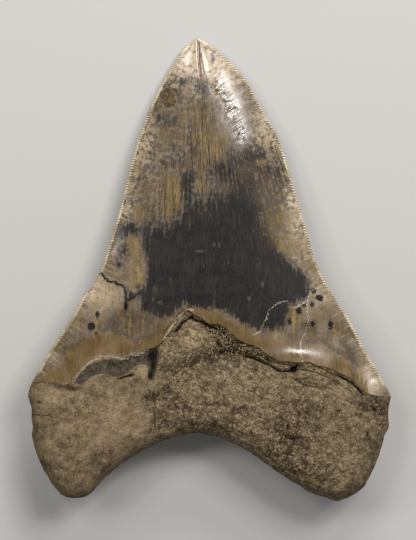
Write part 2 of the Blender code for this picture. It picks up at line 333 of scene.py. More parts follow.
def off_middle(x, y):
    """-1 on the left edge, 1 on the right edge and 0 half way between them, at the same y."""
    left = x_at(LEFT_CUTTING_EDGE[:-1] + ROOT_LEFT_SIDE, y)
    right = x_at(RIGHT_CUTTING_EDGE[:-1] + ROOT_RIGHT_SIDE, y)
    half = np.maximum((right - left) / 2.0, 0.1)
    return np.clip((x - (left + right) / 2.0) / half, -1.0, 1.0)


def quarter_round(distance, radius):
    """The height of a quarter circle of that radius at a distance from its foot, from 0 to 1."""
    t = np.clip(distance / radius, 0.0, 1.0)
    return np.sqrt(1.0 - (1.0 - t) ** 2)


def swelling(x, y):
    """A bell curve down the root times a flat-topped one across it, less a shallow groove."""
    width = np.exp(-np.abs(x / SWELLING_HALF_WIDTH) ** 4)
    height = np.exp(-((y - SWELLING_CENTRE) / SWELLING_HALF_HEIGHT) ** 2)
    groove = np.exp(-(x / 7.0) ** 2) * np.exp(-((y + 30.0) / 12.0) ** 2)
    return SWELLING_DEPTH * width * height - NUTRIENT_GROOVE * groove


def lumps(x, y):
    """Three crossing waves of unlike lengths."""
    return LUMP_HEIGHT * (
        np.sin(0.61 * x + 0.9 * np.sin(0.37 * y)) * np.sin(0.53 * y + 0.7)
        + 0.6 * np.sin(1.31 * x - 0.83 * y)
        + 0.4 * np.sin(0.47 * x + 1.77 * y + 1.1)
    )


def rim_height(x, y):
    """0 along the cutting edges, dropping smoothly to the root's rim below their ends."""
    corner = np.where(x < 0.0, LEFT_CUTTING_EDGE[-1][1], RIGHT_CUTTING_EDGE[-1][1])
    return ROOT_RIM * smooth_step(corner - y, -1.0, CORNER_BLEND)


thickest = ROOT_RISE + ROOT_DEPTH + swelling(np.linspace(-30.0, 30.0, 61), SWELLING_CENTRE).max()
print(f"the root is {thickest:.1f} mm through at its swelling")


# %% Distances to lines and areas


def follow(x, y, points):
    """The distance from each place to a line of points, positive on the line's left, and how
    far along the line its nearest place is. For each stretch the place is dropped at right
    angles onto it, and the nearest foot wins."""
    shape = np.broadcast(x, y).shape
    nearest, foot, walked = np.full(shape, 1e9), np.zeros(shape), 0.0
    for (ax, ay), (bx, by) in zip(points[:-1], points[1:]):
        dx, dy = bx - ax, by - ay
        length = math.hypot(dx, dy)
        t = np.clip(((x - ax) * dx + (y - ay) * dy) / length ** 2, 0.0, 1.0)
        off = np.hypot(x - ax - t * dx, y - ay - t * dy)
        side = np.where(dx * (y - ay) - dy * (x - ax) < 0.0, -1.0, 1.0)
        closer = off < np.abs(nearest)
        nearest = np.where(closer, side * off, nearest)
        foot = np.where(closer, walked + t * length, foot)
        walked += length
    return nearest, foot


def line_distance(x, y, points):
    """The distance to a line of points, without its sign."""
    return np.abs(follow(x, y, points)[0])


def nearest_line(x, y, lines):
    """The signed distance to whichever line is nearest, and the same without its sign. The
    signed one runs straight through zero, so it stays exact between the vertices."""
    nearest = np.full(np.broadcast(x, y).shape, 1e9)
    for line in lines:
        off = follow(x, y, line)[0]
        nearest = np.where(np.abs(off) < np.abs(nearest), off, nearest)
    return nearest, np.abs(nearest)


def bell(x, y, at_x, at_y, wide, tall):
    """1 at a place, and e to the power of minus the squared distance from it elsewhere, where
    the distance is counted in half widths and half heights."""
    return np.exp(-((x - at_x) / wide) ** 2 - ((y - at_y) / tall) ** 2)


def clouds(x, y, patches):
    """Bell-shaped patches, each (x, y, half width, half height, strength), joined so that two
    which overlap never pass 1: one minus the product of what each leaves clear."""
    clear = np.ones(np.broadcast(x, y).shape)
    for *patch, strength in patches:
        clear = clear * (1.0 - strength * bell(x, y, *patch))
    return 1.0 - clear


def area_depth(x, y, points):
    """How far inside a closed outline each place is, and minus how far outside. A place is
    inside when a ray to its right crosses the outline an odd number of times."""
    closed = points + points[:1]
    inside = np.zeros(np.broadcast(x, y).shape, bool)
    for (ax, ay), (bx, by) in zip(closed[:-1], closed[1:]):
        if ay != by:
            crosses = (ay > y) != (by > y)
            inside ^= crosses & (x < (bx - ax) * (y - ay) / (by - ay) + ax)
    return np.where(inside, 1.0, -1.0) * line_distance(x, y, closed)


def spots_depth(x, y, spots):
    """The same for a set of ellipses, each (x, y, half width, half height)."""
    best = np.full(np.broadcast(x, y).shape, -1e9)
    for at_x, at_y, wide, tall in spots:
        reach = np.hypot((x - at_x) / wide, (y - at_y) / tall)
        best = np.maximum(best, (1.0 - reach) * min(wide, tall))
    return best


def rim_line():
    """The whole outline as a line of places about a millimetre and a half apart."""
    share = np.linspace(0.0, 1.0, 90)
    small = np.linspace(0.0, 1.0, 24)
    left, right = along(LEFT_CUTTING_EDGE, share), along(RIGHT_CUTTING_EDGE, share)
    sides = along(ROOT_LEFT_SIDE, small), along(ROOT_RIGHT_SIDE, small)
    lower = along(ROOT_LOWER_EDGE, share)
    loop = [left, sides[0][1:], lower[1:], sides[1][::-1][1:], right[::-1][1:]]
    return [tuple(point) for point in np.concatenate(loop)]


print(f"once round the rim is {np.hypot(*np.diff(rim_line(), axis=0).T).sum():.0f} mm")


# %% [markdown]
# ## The outer face
#
# The face that looks up carries the tooth's story. The enamel has broken away along its lower
# edge and stands proud of the root, with crevices under it that the material darkens with painted
# shade. At the peak a chip shows the enamel's thickness, drawn as a pale line that is partly a
# painted highlight. The root below is granular, with pits and cracks and, on the right, thin
# ledges. A short crest runs down from the tip, and fine ripples cross the shoulder beside it.
# Sculpting would do for one tooth, but named places keep each mark where the real one has it.
# All of them fade out at the rim, so that both faces still meet there.

# %% Cracks and pits of the outer face, in millimetres
CREVICES = [
    ([(-10.3, -18.8), (-8.9, -17.5), (-8.0, -16.0), (-6.4, -14.9), (-5.2, -14.1), (-4.6, -15.2),
      (-2.5, -15.8), (-0.3, -17.0), (2.5, -18.0)], 1.4, 0.5),
    ([(6.6, -21.8), (8.2, -22.3), (11.2, -22.0), (13.0, -23.0)], 0.6, 0.3),
    ([(10.8, -26.2), (13.1, -26.8), (15.9, -28.0), (18.5, -29.0), (21.2, -30.9), (24.4, -30.7),
      (26.0, -29.8), (26.6, -28.9)], 1.4, 0.45),
    ([(16.5, -26.6), (19.5, -28.2), (24.4, -28.9)], 0.5, 0.25),
    ([(26.6, -29.2), (32.5, -29.3), (36.3, -31.2), (40.1, -32.7)], 0.5, 0.3),
    ([(39.5, -32.4), (43.0, -34.2), (46.8, -38.0)], 0.9, 0.3),
    ([(27.5, -30.2), (32.2, -31.0), (36.0, -32.7), (38.9, -34.4), (43.0, -37.0)], 0.6, 0.25),
    ([(25.9, -33.2), (28.4, -34.8), (30.8, -35.3), (34.5, -36.0)], 0.7, 0.3),
    ([(-27.1, -33.0), (-25.4, -32.3), (-23.4, -32.0)], 1.1, 0.5),
    ([(-16.0, -24.6), (-16.4, -28.0), (-17.9, -33.2)], 0.8, 0.55),
    ([(-17.1, -37.0), (-17.1, -38.7), (-11.7, -36.7)], 0.6, 0.25),
    ([(-16.4, -39.4), (-16.7, -43.0), (-16.4, -48.0)], 0.6, 0.2),
    ([(-54.3, -44.2), (-48.6, -44.1)], 0.3, 0.2),
]
PITS = [
    (25.5, -30.3, 1.2, 1.3, 1.8), (-41.3, -36.1, 3.0, 0.9, 0.5), (2.7, -22.4, 0.8, 0.7, 1.0),
    (3.6, -25.0, 0.9, 0.8, 1.0), (-6.4, -18.9, 0.6, 0.5, 0.7), (-7.0, -19.9, 0.5, 0.5, 0.6),
    (-1.3, -21.0, 0.6, 0.8, 0.6), (50.0, -42.4, 0.7, 0.8, 0.9), (23.5, -47.5, 0.5, 1.0, 0.7),
    (31.3, -49.2, 0.7, 0.6, 0.6), (33.0, -48.0, 0.6, 0.6, 0.5), (47.8, -49.7, 0.7, 1.0, 0.6),
    (38.9, -42.7, 1.0, 0.8, 0.5), (25.4, -40.8, 0.5, 0.9, 0.5), (27.0, -43.5, 0.5, 1.1, 0.5),
    (25.4, -51.1, 2.4, 0.8, 0.6), (-51.5, -40.2, 1.0, 0.6, 0.5), (-41.2, -40.2, 0.7, 0.6, 0.5),
    (-40.4, -49.8, 0.7, 0.9, 0.4), (-17.2, -26.2, 1.5, 1.4, 0.7), (-16.9, -29.0, 0.7, 1.8, 0.7),
    (-17.8, -32.0, 0.7, 1.4, 0.7),
]
SLATE_BAND = [
    (-40.9, -34.0), (-39.2, -31.8), (-36.6, -28.6), (-33.0, -27.9), (-31.5, -27.2),
    (-27.0, -27.0), (-21.0, -24.9), (-15.4, -22.9), (-15.2, -26.5), (-16.8, -33.4),
    (-18.8, -33.4), (-18.2, -29.3), (-20.5, -28.4), (-22.6, -29.4), (-24.5, -31.0),
    (-28.0, -32.6), (-30.3, -32.0), (-32.6, -31.2), (-35.7, -32.5), (-38.8, -34.8),
]
FLAKED = [
    (-34.6, -0.6), (-32.7, -1.4), (-31.3, -2.9), (-30.0, -3.8), (-28.7, -3.8), (-27.5, -4.6),
    (-26.3, -4.7), (-25.7, -5.7), (-25.3, -7.4), (-25.3, -9.1), (-29.0, -13.0), (-36.0, -16.0),
    (-43.0, -18.0), (-40.4, -12.3), (-38.0, -7.7),
]
CHIP_LINE = [
    (-13.7, -21.4), (-12.2, -18.4), (-10.0, -15.6), (-8.7, -13.9), (-6.4, -12.2), (-5.4, -12.1),
]
TIP_GROOVE = [(-3.3, 70.0), (-3.3, 66.8), (-3.1, 62.6), (-2.7, 58.7), (-2.4, 55.0)]
TIP_CREST = [(-3.1, 70.0), (-2.9, 68.8), (-2.2, 65.6), (-1.5, 61.1), (-0.9, 58.0), (-0.7, 55.0)]
CREST_WIDTH = [(70.0, 0.1), (68.8, 0.3), (65.6, 0.8), (61.1, 1.3), (58.7, 0.9), (57.0, 0.3)]
CREST_SLOPE = 0.2
BULGE = (24.5, -25.9, 5.5, 1.8, 0.28)
RIPPLED_LINE = [(1.5, 58.5), (3.2, 55.5), (5.8, 50.7), (8.6, 44.7), (9.5, 40.5)]
ENAMEL_LEDGE = [
    (-56.0, 0.35), (-20.0, 0.35), (-12.0, 1.0), (-2.0, 0.9), (3.0, 0.4), (15.0, 0.4),
    (19.5, 0.9), (27.0, 0.9), (30.0, 0.5), (38.0, 0.6), (45.0, 0.9), (56.0, 0.3),
]
LEDGE_PITCH = 1.5
LEDGE_HEIGHT = 0.45
GROOVE_DEPTH = 0.25
GROOVE_WIDTH = 0.4
RIPPLE_PITCH = 2.3
RIPPLE_HEIGHT = 0.05
FLAKED_DEPTH = 0.12
CHIP_DEPTH = 0.6
CHIP_WIDTH = 1.1
SLATE_DEPTH = 0.3
GROWTH_RUN = 32.0
print(f"{len(CREVICES)} crevices and cracks, {len(PITS)} pits")

# %% Height of the outer face


def dents(x, y):
    """Crevices and pits: each a bell curve of the distance to a line, or of an ellipse."""
    cracks = sum(
        depth * np.exp(-(line_distance(x, y, line) / wide) ** 2) for line, depth, wide in CREVICES
    )
    return cracks + sum(depth * bell(x, y, *pit) for *pit, depth in PITS)


def ledges(x, y, below):
    """Where the ledges are, and their phase: the distance below the enamel over their pitch,
    made to waver."""
    here = smooth_step(x, 20.0, 30.0) * smooth_step(below, 0.6, 1.6)
    here *= smooth_step(-below, -12.0, -5.0)
    return here, (below + 0.9 * rough(x, y, 6.0, 3, 33)) / LEDGE_PITCH


def root_ledges(x, y, below):
    """A saw-tooth wave: each ledge rises slowly and ends in a step."""
    here, phase = ledges(x, y, below)
    return LEDGE_HEIGHT * here * (0.5 - np.mod(phase, 1.0))


def grain_strength(x, y):
    """How rough the root is: most under the peak, less on the right and least on the left."""
    return 0.42 + 0.63 * smooth_step(x, -22.0, -12.0) - 0.25 * smooth_step(x, 22.0, 38.0)


def granular(x, y, flow_across, flow_down):
    """Rough ground of the root: grains of one to three millimetres, fibres that run with the
    root, and small pits where fine noise is high."""
    grains = 0.12 * rough(x, y, 2.8, 2, 41) + 0.15 * rough(x, y, 1.0, 2, 43)
    fibres = 0.08 * rough(flow_across / 4.0, flow_down, 1.1, 2, 45)
    pits = 0.4 * smooth_step(rough(x, y, 1.7, 2, 47), 0.7, 1.1)
    return (grains + fibres - pits) * grain_strength(x, y)


def tip_crest(x, y):
    """A crest that runs down from the tip. To its right a flat facet falls away, which widens on
    the way down, and along its left side runs a groove."""
    aside = x - x_at(TIP_CREST, y)
    width = through(CREST_WIDTH, y)
    facet = CREST_SLOPE * np.clip(width - np.maximum(aside, 0.0), 0.0, width)
    groove = GROOVE_DEPTH * np.exp(-((x - x_at(TIP_GROOVE, y)) / GROOVE_WIDTH) ** 2)
    crest = facet * smooth_step(aside, -0.7, 0.0) - groove
    return crest * smooth_step(y, 56.0, 60.0) * smooth_step(-y, -70.0, -69.2)


def ripples(x, y):
    """Unsteady waves that climb to the right, on a bell curve along the tip's shoulder."""
    here = np.exp(-(line_distance(x, y, RIPPLED_LINE) / 3.0) ** 2)
    phase = (0.82 * y - 0.57 * x) / RIPPLE_PITCH + 0.7 * rough(x, y, 3.5, 2, 81)
    return RIPPLE_HEIGHT * here * np.sin(2.0 * math.pi * phase)


def outer_height(x, y, across, down, in_root, gap):
    """The crown's lens and the root's pad, blended over the last few millimetres of the crown,
    with the enamel's ledge and each kind of damage added."""
    below = enamel_line(x) - y
    lens = (1.0 - off_middle(x, y) ** 2) ** OUTER_FULLNESS
    crown = through(OUTER_RISE, y) * lens
    pad = rim_height(x, y)
    root = pad + (ROOT_RISE - pad) * quarter_round(gap, ROOT_OUTER_ROUND)
    inside = smooth_step(gap, 0.0, 2.5)
    rooted = smooth_step(below, -6.0, 6.0)
    height = crown + (root - crown) * rooted
    soft = inside * (0.05 * rough(x, y, 9.0, 2, 51) + 0.2 * lumps(x, y) * rooted)
    soft += BULGE[4] * bell(x, y, *BULGE[:4])
    flaked = smooth_step(area_depth(x, y, FLAKED), -0.25, 0.25) * smooth_step(y, -15.0, -8.0)
    chip = np.clip(1.0 - line_distance(x, y, CHIP_LINE) / CHIP_WIDTH, 0.0, 1.0)
    worn = -smooth_step(gap, 0.2, 1.0) * (tip_crest(x, y) + ripples(x, y))
    worn += inside * (FLAKED_DEPTH * flaked + CHIP_DEPTH * chip)
    enamel = height + soft - worn
    ground = 0.4 * lumps(x, y) + root_ledges(x, y, below)
    ground += granular(x, y, across * ROOT_WIDTH, down * GROWTH_RUN) - dents(x, y)
    ground -= SLATE_DEPTH * smooth_step(area_depth(x, y, SLATE_BAND), -0.5, 0.5)
    drop = through(ENAMEL_LEDGE, x) * smooth_step(-below, -9.0, 0.0)
    dentine = height + inside * (ground - drop)
    return np.where(in_root, dentine, enamel)


# %% [markdown]
# ## The inner face
#
# The face that the tooth lies on isn't in view, but it is finished all the same. Its enamel ends
# in a wide V, below which a narrow bare collar and then the root follow, and two small nutrient
# holes open in the groove of the swelling.

# %% The inner face's collar, holes and grain
NUTRIENT_HOLES = [(0.6, -25.5, 0.8, 1.3), (-2.2, -28.5, 0.55, 0.9), (3.4, -30.0, 0.5, 0.8)]
COLLAR_HEIGHT = 7.0
COLLAR_STEP = 0.3
print(f"{len(NUTRIENT_HOLES)} nutrient holes")


def inner_line(x):
    """The lower edge of the inner enamel: a V with a rounded point, slightly ragged."""
    return -4.0 - 0.52 * np.sqrt(x ** 2 + 30.0) + 0.35 * rough(x, 0.0 * x, 4.0, 3, 61)


def inner_height(x, y, across, down, in_root, gap):
    """Minus the crown's lens and minus the root's pad and swelling, blended round the lower edge
    of the inner enamel, with a small step at that edge and grain on the root."""
    crown = -through(INNER_DEPTH, y) * (1.0 - off_middle(x, y) ** 2) ** INNER_FULLNESS
    pad = rim_height(x, y)
    floor = -(ROOT_DEPTH + swelling(x, y))
    root = pad + (floor - pad) * quarter_round(gap, ROOT_INNER_ROUND)
    inside = smooth_step(gap, 0.0, 3.0)
    rough_part = inside * (1.0 - swelling(x, y) / SWELLING_DEPTH)
    root = root - 0.8 * rough_part * lumps(x + 9.0, y)
    below = inner_line(x) - y
    rooted = smooth_step(-6.0 - 0.5 * np.abs(x) - y, -9.0, 9.0)
    height = crown + (root - crown) * rooted
    step = COLLAR_STEP * smooth_step(below, -0.2, 0.3) * smooth_step(-below, -14.0, -2.0)
    grain = smooth_step(below, COLLAR_HEIGHT - 2.0, COLLAR_HEIGHT + 1.0)
    grain = grain * granular(x, y, across * ROOT_WIDTH, below)
    holes = sum(
        deep * np.exp(-(np.hypot(x - at_x, y - at_y) / wide) ** 4)
        for at_x, at_y, wide, deep in NUTRIENT_HOLES
    )
    return height + inside * (step - grain + holes)


# %% [markdown]
# ## Building the mesh
#
# Each sheet is a table of vertex numbers. Its bands have fine rows, and its middle has wide rows
# that meet every third or fifteenth fine row, where a face with many corners takes up the vertices
# between. The root's rows use all columns. Both sheets go into one mesh, the vertices along the
# rim are merged, and the normals are recalculated once on the closed surface.

# %% Vertex tables of one sheet
NICK_REACH = 0.8
ROOT_UNEVENNESS = 0.25


def crown_block(side, down):
    """Places of one band beside a cutting edge, on all fine rows, with the nicks cut."""
    share = band_share(down)
    across = share if side < 0 else 1.0 - share
    place = crown_places(across, down)
    fade = np.clip(1.0 - BAND / NICK_REACH, 0.0, 1.0)
    pull = NICK_DEPTH * nick(down, side) * fade
    place += pull[..., None] * inward(down, side)
    return place, across


def sheet(face):
    """The four blocks of one sheet, each with its places, shares across and down and which part
    it is, and the faces over all of them."""
    fine = np.linspace(0.0, 1.0, FINE_ROWS + 1)[:, None]
    stride = FINE_PER_ROW[face]
    wide = fine[::stride]
    left, left_across = crown_block(-1, fine)
    right, right_across = crown_block(1, fine)
    middle_across = inner_share(wide)
    middle = crown_places(middle_across, wide)
    across, rows = root_shares()
    root_across, root_down = np.meshgrid(across, rows)
    root = root_places(root_across, root_down)
    uneven = ROOT_UNEVENNESS * smooth_step(root_down, 0.02, 0.2)[..., None]
    root = root + uneven * np.stack(
        [rough(root[..., 0], root[..., 1], 3.0, 2, seed) for seed in (71, 73)], -1
    )
    blocks = [
        (left, left_across, fine, -1), (middle, middle_across, wide, 0),
        (right, right_across, fine, 1), (root, root_across, root_down, 2),
    ]
    starts = np.cumsum([0] + [block[1].size for block in blocks])
    tables = [
        start + np.arange(block[1].size).reshape(block[1].shape)
        for start, block in zip(starts, blocks)
    ]
    return blocks, sheet_faces(tables, stride)


def quads(table):
    """Four-cornered faces between neighbouring rows and columns of a table of vertices."""
    corners = [table[:-1, :-1], table[1:, :-1], table[1:, 1:], table[:-1, 1:]]
    return np.stack(corners, -1).reshape(-1, 4)


def stitched(fine_edge, wide_edge, stride, flip):
    """Faces between a fine row edge and a wide one: each has every fine vertex of one stretch
    on one side and two vertices on the other."""
    first = np.arange(0, len(fine_edge) - 1, stride)
    steps = np.arange(stride + 1)
    fine_side = fine_edge[first[:, None] + steps]
    faces = np.concatenate([fine_side, wide_edge[1:, None], wide_edge[:-1, None]], 1)
    return faces[:, ::-1] if flip else faces


def sheet_faces(tables, stride):
    """The faces of a sheet, as a list of arrays with one number of corners each."""
    left, middle, right, root = tables
    turned = right[:, ::-1]
    last = np.concatenate([left[-1], middle[-1], turned[-1]])
    return [
        quads(left), quads(middle), quads(turned), quads(root),
        quads(np.stack([last, root[0]])),
        stitched(left[:, -1], middle[:, 0], stride, False),
        stitched(turned[:, 0], middle[:, -1], stride, True),
    ]


# %% [markdown]
# ## Where the colours go
#
# The colours of a fossil come from minerals in the sea bed. Iron and manganese stained the
# enamel charcoal in a wide field, ochre in a band above the root and tan elsewhere, with black
# spots and white cracks. Some colours are painted light: shade in the pits, holes, cracks and
# crevices and at the foot of the root's ledges, a dark line in the tip's groove, and part of the
# light on the chip, the saw-tooth nicks and the margin's wrinkles. A painted image would tie the
# tooth to a picture, so each stain is an outline or a soft patch of a few places, and every
# vertex keeps how deep inside it lies. The material then draws the border where that depth plus
# some noise is zero, sharp at any size.

# %% Dark stains of the outer face, in millimetres
CHARCOAL = [
    (5.0, 36.0), (11.0, 38.0), (19.5, 36.5), (23.5, 30.0), (23.0, 22.5), (24.0, 15.0),
    (22.5, 7.5), (25.0, 2.5), (29.5, -2.0), (31.0, -6.0), (29.0, -9.5), (25.0, -11.0),
    (23.0, -17.5), (16.5, -19.0), (10.5, -17.0), (6.5, -14.0), (2.5, -12.5), (-1.0, -12.5),
    (-4.0, -11.5), (-7.5, -10.5), (-11.0, -14.0), (-14.0, -15.2), (-16.5, -14.5), (-18.5, -13.0),
    (-20.9, -12.9), (-20.9, -8.5), (-22.5, -8.2), (-24.0, -9.6), (-24.9, -9.0), (-24.9, -6.0),
    (-22.5, -6.8), (-20.5, -5.5), (-19.2, -2.0), (-19.2, 2.5), (-21.0, 8.0), (-19.5, 13.5),
    (-12.0, 16.5), (-9.0, 21.0), (-8.5, 25.5), (-3.0, 22.0), (0.0, 24.0), (2.0, 31.0),
]
DARK_CLOUDS = [
    (-8.0, 57.0, 4.0, 2.0, 0.7), (-2.0, 55.8, 2.4, 2.8, 1.0), (-15.0, 46.0, 2.5, 2.5, 0.6),
    (-9.0, 47.5, 3.5, 3.0, 0.45), (-11.0, 44.0, 4.0, 2.5, 0.6), (9.5, 44.0, 4.0, 3.5, 0.5),
    (-4.5, 36.0, 2.5, 3.5, 0.8), (4.0, 31.5, 4.0, 3.0, 0.7), (11.0, 33.0, 4.0, 4.0, 0.95),
    (16.0, 29.5, 5.0, 3.0, 0.8), (-18.0, 34.5, 4.0, 3.0, 0.55), (-13.5, 31.5, 2.0, 2.5, 0.65),
    (-21.0, 27.0, 3.0, 3.0, 0.55), (-6.0, 25.5, 2.5, 6.0, 0.9), (-23.5, 12.5, 4.0, 3.0, 0.85),
    (-26.0, 5.6, 2.8, 2.4, 0.75), (-26.5, 10.5, 2.0, 2.5, 0.8), (9.5, 24.0, 10.5, 5.5, 0.8),
    (20.0, 19.5, 3.0, 6.0, 0.6), (-1.5, 49.0, 2.0, 7.0, 0.6), (1.2, 63.5, 0.7, 2.4, 0.7),
    (-19.0, 20.0, 2.5, 4.0, 0.5), (18.0, 44.5, 1.5, 2.5, 0.5), (-27.5, 1.5, 2.0, 1.5, 0.7),
    (-21.5, -4.8, 1.2, 1.2, 0.9),
]
BLACK_SPOTS = [
    (-35.7, -17.2, 1.1, 1.4), (-33.9, -13.6, 0.6, 1.2), (-34.2, -19.3, 0.45, 0.45),
    (-25.2, -10.8, 0.6, 1.7), (27.2, -12.4, 0.8, 1.2), (28.7, -10.7, 0.6, 0.8),
    (31.2, -10.6, 0.8, 1.0), (33.4, -8.6, 1.2, 1.0), (31.2, -16.5, 0.7, 0.9),
    (36.7, -16.8, 0.8, 1.6), (24.4, -15.9, 0.6, 1.2), (29.4, -16.5, 0.3, 0.9),
    (31.6, -6.4, 1.2, 0.8),
]
BORDER_LINES = [
    [(-34.2, -0.6), (-32.7, -1.4), (-31.3, -2.9), (-30.0, -3.8), (-28.7, -3.8), (-27.5, -4.6),
     (-26.3, -4.7), (-25.7, -5.7), (-25.3, -7.4), (-25.2, -9.6)],
    [(-25.0, -9.6), (-24.2, -9.0), (-22.8, -8.2), (-21.3, -7.4)],
]
GROWTH_LINES = [
    [(-4.8, 50.0), (-3.4, 42.3), (-3.0, 36.2)], [(-1.5, 48.2), (-0.7, 42.3), (0.1, 31.7)],
    [(-2.5, 51.5), (-1.9, 43.8)], [(-9.2, 35.0), (-8.6, 27.3), (-8.3, 21.1)],
    [(-15.1, 27.1), (-15.1, 16.5)], [(-13.6, 26.5), (-13.4, 17.1)], [(-10.8, 26.2), (-11.0, 17.4)],
    [(3.9, 39.2), (3.9, 27.3)], [(-6.4, 45.0), (-5.6, 36.5)], [(6.7, 37.5), (6.9, 31.0)],
]
GREY_LINES = [
    [(-43.0, -27.7), (-44.2, -24.7), (-42.7, -23.5), (-40.0, -22.8), (-38.4, -21.4)],
    [(-32.2, -18.3), (-28.3, -18.5), (-24.1, -20.5), (-22.6, -21.6), (-18.7, -20.3),
     (-14.0, -18.7)],
    [(29.5, -21.7), (33.8, -21.7), (36.7, -23.6), (41.9, -26.4), (44.5, -28.6)],
    [(40.0, -21.5), (42.2, -24.0), (43.5, -26.5)],
]
print(f"{len(DARK_CLOUDS)} dark clouds, {len(BLACK_SPOTS)} spots, {len(GROWTH_LINES)} growth lines")

# %% Ochre and pale stains of the outer face, in millimetres
OCHRE_BANDS = [
    [(-53.0, -34.0), (-49.0, -31.0), (-44.5, -28.5), (-43.2, -24.0), (-38.0, -21.2),
     (-32.0, -18.8), (-27.5, -19.3), (-23.0, -22.0), (-18.7, -20.3), (-14.0, -17.0),
     (-10.5, -14.6), (-7.5, -12.0), (-9.0, -16.0), (-15.5, -24.5), (-27.0, -28.0),
     (-35.5, -29.5), (-41.0, -33.5), (-48.5, -36.0)],
    [(-5.0, -13.0), (-2.5, -12.4), (1.0, -13.0), (4.0, -13.5), (7.0, -15.0), (10.5, -18.0),
     (16.0, -20.5), (23.0, -21.6), (31.0, -21.8), (36.5, -24.2), (42.0, -28.3), (47.5, -35.0),
     (49.0, -39.0), (41.0, -34.5), (32.0, -31.0), (24.5, -31.0), (16.0, -27.5), (9.5, -24.5),
     (3.5, -20.0)],
]
GOLD_CLOUDS = [
    (-12.5, 22.5, 3.5, 6.0, 1.0), (-2.0, 25.0, 2.5, 2.5, 0.9), (1.5, 37.0, 5.5, 5.5, 0.7),
    (-2.0, 31.0, 1.0, 2.5, 0.9), (-21.5, 16.5, 2.0, 3.0, 0.6), (16.0, 32.5, 2.0, 1.0, 0.6),
    (-21.5, -0.5, 2.2, 4.5, 1.0), (23.0, 10.0, 3.0, 10.5, 0.5), (-22.5, 7.5, 1.5, 2.5, 0.8),
    (-16.5, -6.0, 1.0, 2.0, 0.6), (1.5, -8.0, 0.9, 8.0, 0.45), (-15.0, -10.0, 1.0, 0.8, 0.7),
    (-17.0, -9.0, 0.5, 1.0, 0.8), (16.0, -4.5, 0.5, 1.0, 0.9), (12.0, -8.8, 0.6, 0.8, 1.0),
    (-3.0, 5.5, 2.0, 0.5, 0.8), (1.5, 7.5, 0.4, 0.9, 0.9), (3.0, 7.5, 0.4, 1.1, 0.9),
    (16.0, 25.0, 7.0, 8.0, 0.45), (10.5, 30.0, 4.0, 5.0, 0.35), (18.5, 13.0, 5.0, 9.0, 0.5),
    (4.5, 24.5, 3.5, 2.5, 0.5), (-4.0, 44.0, 8.0, 8.0, 0.3), (-13.5, 38.0, 3.0, 3.0, 0.3),
    (26.3, -14.5, 1.8, 2.6, 0.7), (-2.0, 58.5, 1.2, 3.0, 0.7),
]
PALE_CLOUDS = [
    (-6.0, 65.0, 12.0, 8.0, 1.0), (4.0, 62.0, 8.0, 9.0, 0.8), (-20.5, 41.0, 4.0, 12.0, 0.65),
    (-25.5, 22.0, 2.5, 10.0, 0.5), (19.0, 45.0, 6.0, 12.0, 0.8), (26.5, 22.0, 4.0, 13.0, 0.9),
    (30.5, 5.0, 3.0, 8.0, 0.6), (-35.5, -5.5, 5.0, 5.5, 0.65), (-31.0, -8.5, 4.5, 5.0, 0.4),
    (49.0, -33.0, 4.0, 5.0, 0.5), (28.0, 31.0, 3.0, 6.0, 0.5), (35.0, -8.0, 3.0, 5.0, 0.3),
]
UMBER_CLOUDS = [
    (-25.0, -16.0, 8.0, 4.5, 0.9), (-18.0, -18.0, 5.0, 3.0, 0.6), (29.0, -17.5, 7.0, 3.5, 0.6),
    (-49.0, -30.5, 2.5, 3.0, 0.7), (-44.0, -24.5, 2.0, 3.0, 0.7), (44.0, -27.0, 2.5, 3.5, 0.4),
    (30.0, 2.0, 3.0, 4.0, 0.6), (-33.0, 2.0, 3.0, 2.5, 0.5), (43.0, -20.5, 3.5, 4.5, 0.35),
    (-40.0, -20.5, 3.5, 3.0, 0.75), (-26.5, -16.0, 6.0, 3.5, 0.6),
]
ROUND_STAINS = [(-12.0, 52.2, 2.0, 2.9), (-10.3, 53.7, 1.2, 1.2)]
WHITE_CRACKS = [
    [(13.8, -19.5), (15.5, -18.5), (16.3, -16.4), (17.4, -14.2), (18.0, -12.3), (19.7, -10.8),
     (21.4, -9.8), (23.6, -9.5), (24.0, -10.2)],
    [(34.6, -4.9), (31.2, -6.2), (29.9, -8.7), (29.7, -11.7), (29.9, -15.9), (28.7, -19.8),
     (27.8, -21.0), (27.6, -25.3), (28.7, -29.0)],
    [(24.4, -11.5), (26.5, -11.3), (28.7, -10.0)],
]
POLISHED = [
    (-3.5, 64.0, 6.0, 6.0, 1.0), (3.0, 55.5, 3.5, 4.0, 1.0), (7.0, 48.0, 3.5, 6.0, 1.0),
    (9.5, 41.0, 2.5, 4.0, 0.8), (-30.0, 10.0, 3.0, 5.0, 0.9), (27.0, -25.0, 7.0, 3.0, 0.9),
    (-5.5, 67.0, 3.0, 3.0, 1.0), (-7.0, 62.5, 2.0, 1.5, 0.9), (50.0, -33.0, 2.0, 4.0, 0.8),
    (18.0, 48.0, 3.0, 5.0, 0.4), (27.0, 20.0, 3.0, 9.0, 0.4),
]
CRUST = [
    (-0.3, -14.5), (4.2, -15.5), (5.5, -18.0), (8.5, -20.8), (11.7, -20.6), (14.5, -22.5),
    (18.5, -25.6), (19.5, -28.0), (11.0, -26.4), (9.0, -25.6), (5.0, -26.0), (2.0, -22.0),
    (0.0, -19.0), (-3.0, -17.0),
]
SLATE_SPOT = (-45.5, -35.0, 1.7, 0.9)
STREAKED = [(-2.0, 33.0, 13.0, 20.0, 1.0), (-8.0, 15.0, 12.0, 12.0, 0.8)]
ROOT_DARK_BAND = [(2.0, -23.5), (-3.5, -26.5), (-10.7, -30.5), (-13.2, -36.7), (-19.0, -39.0)]
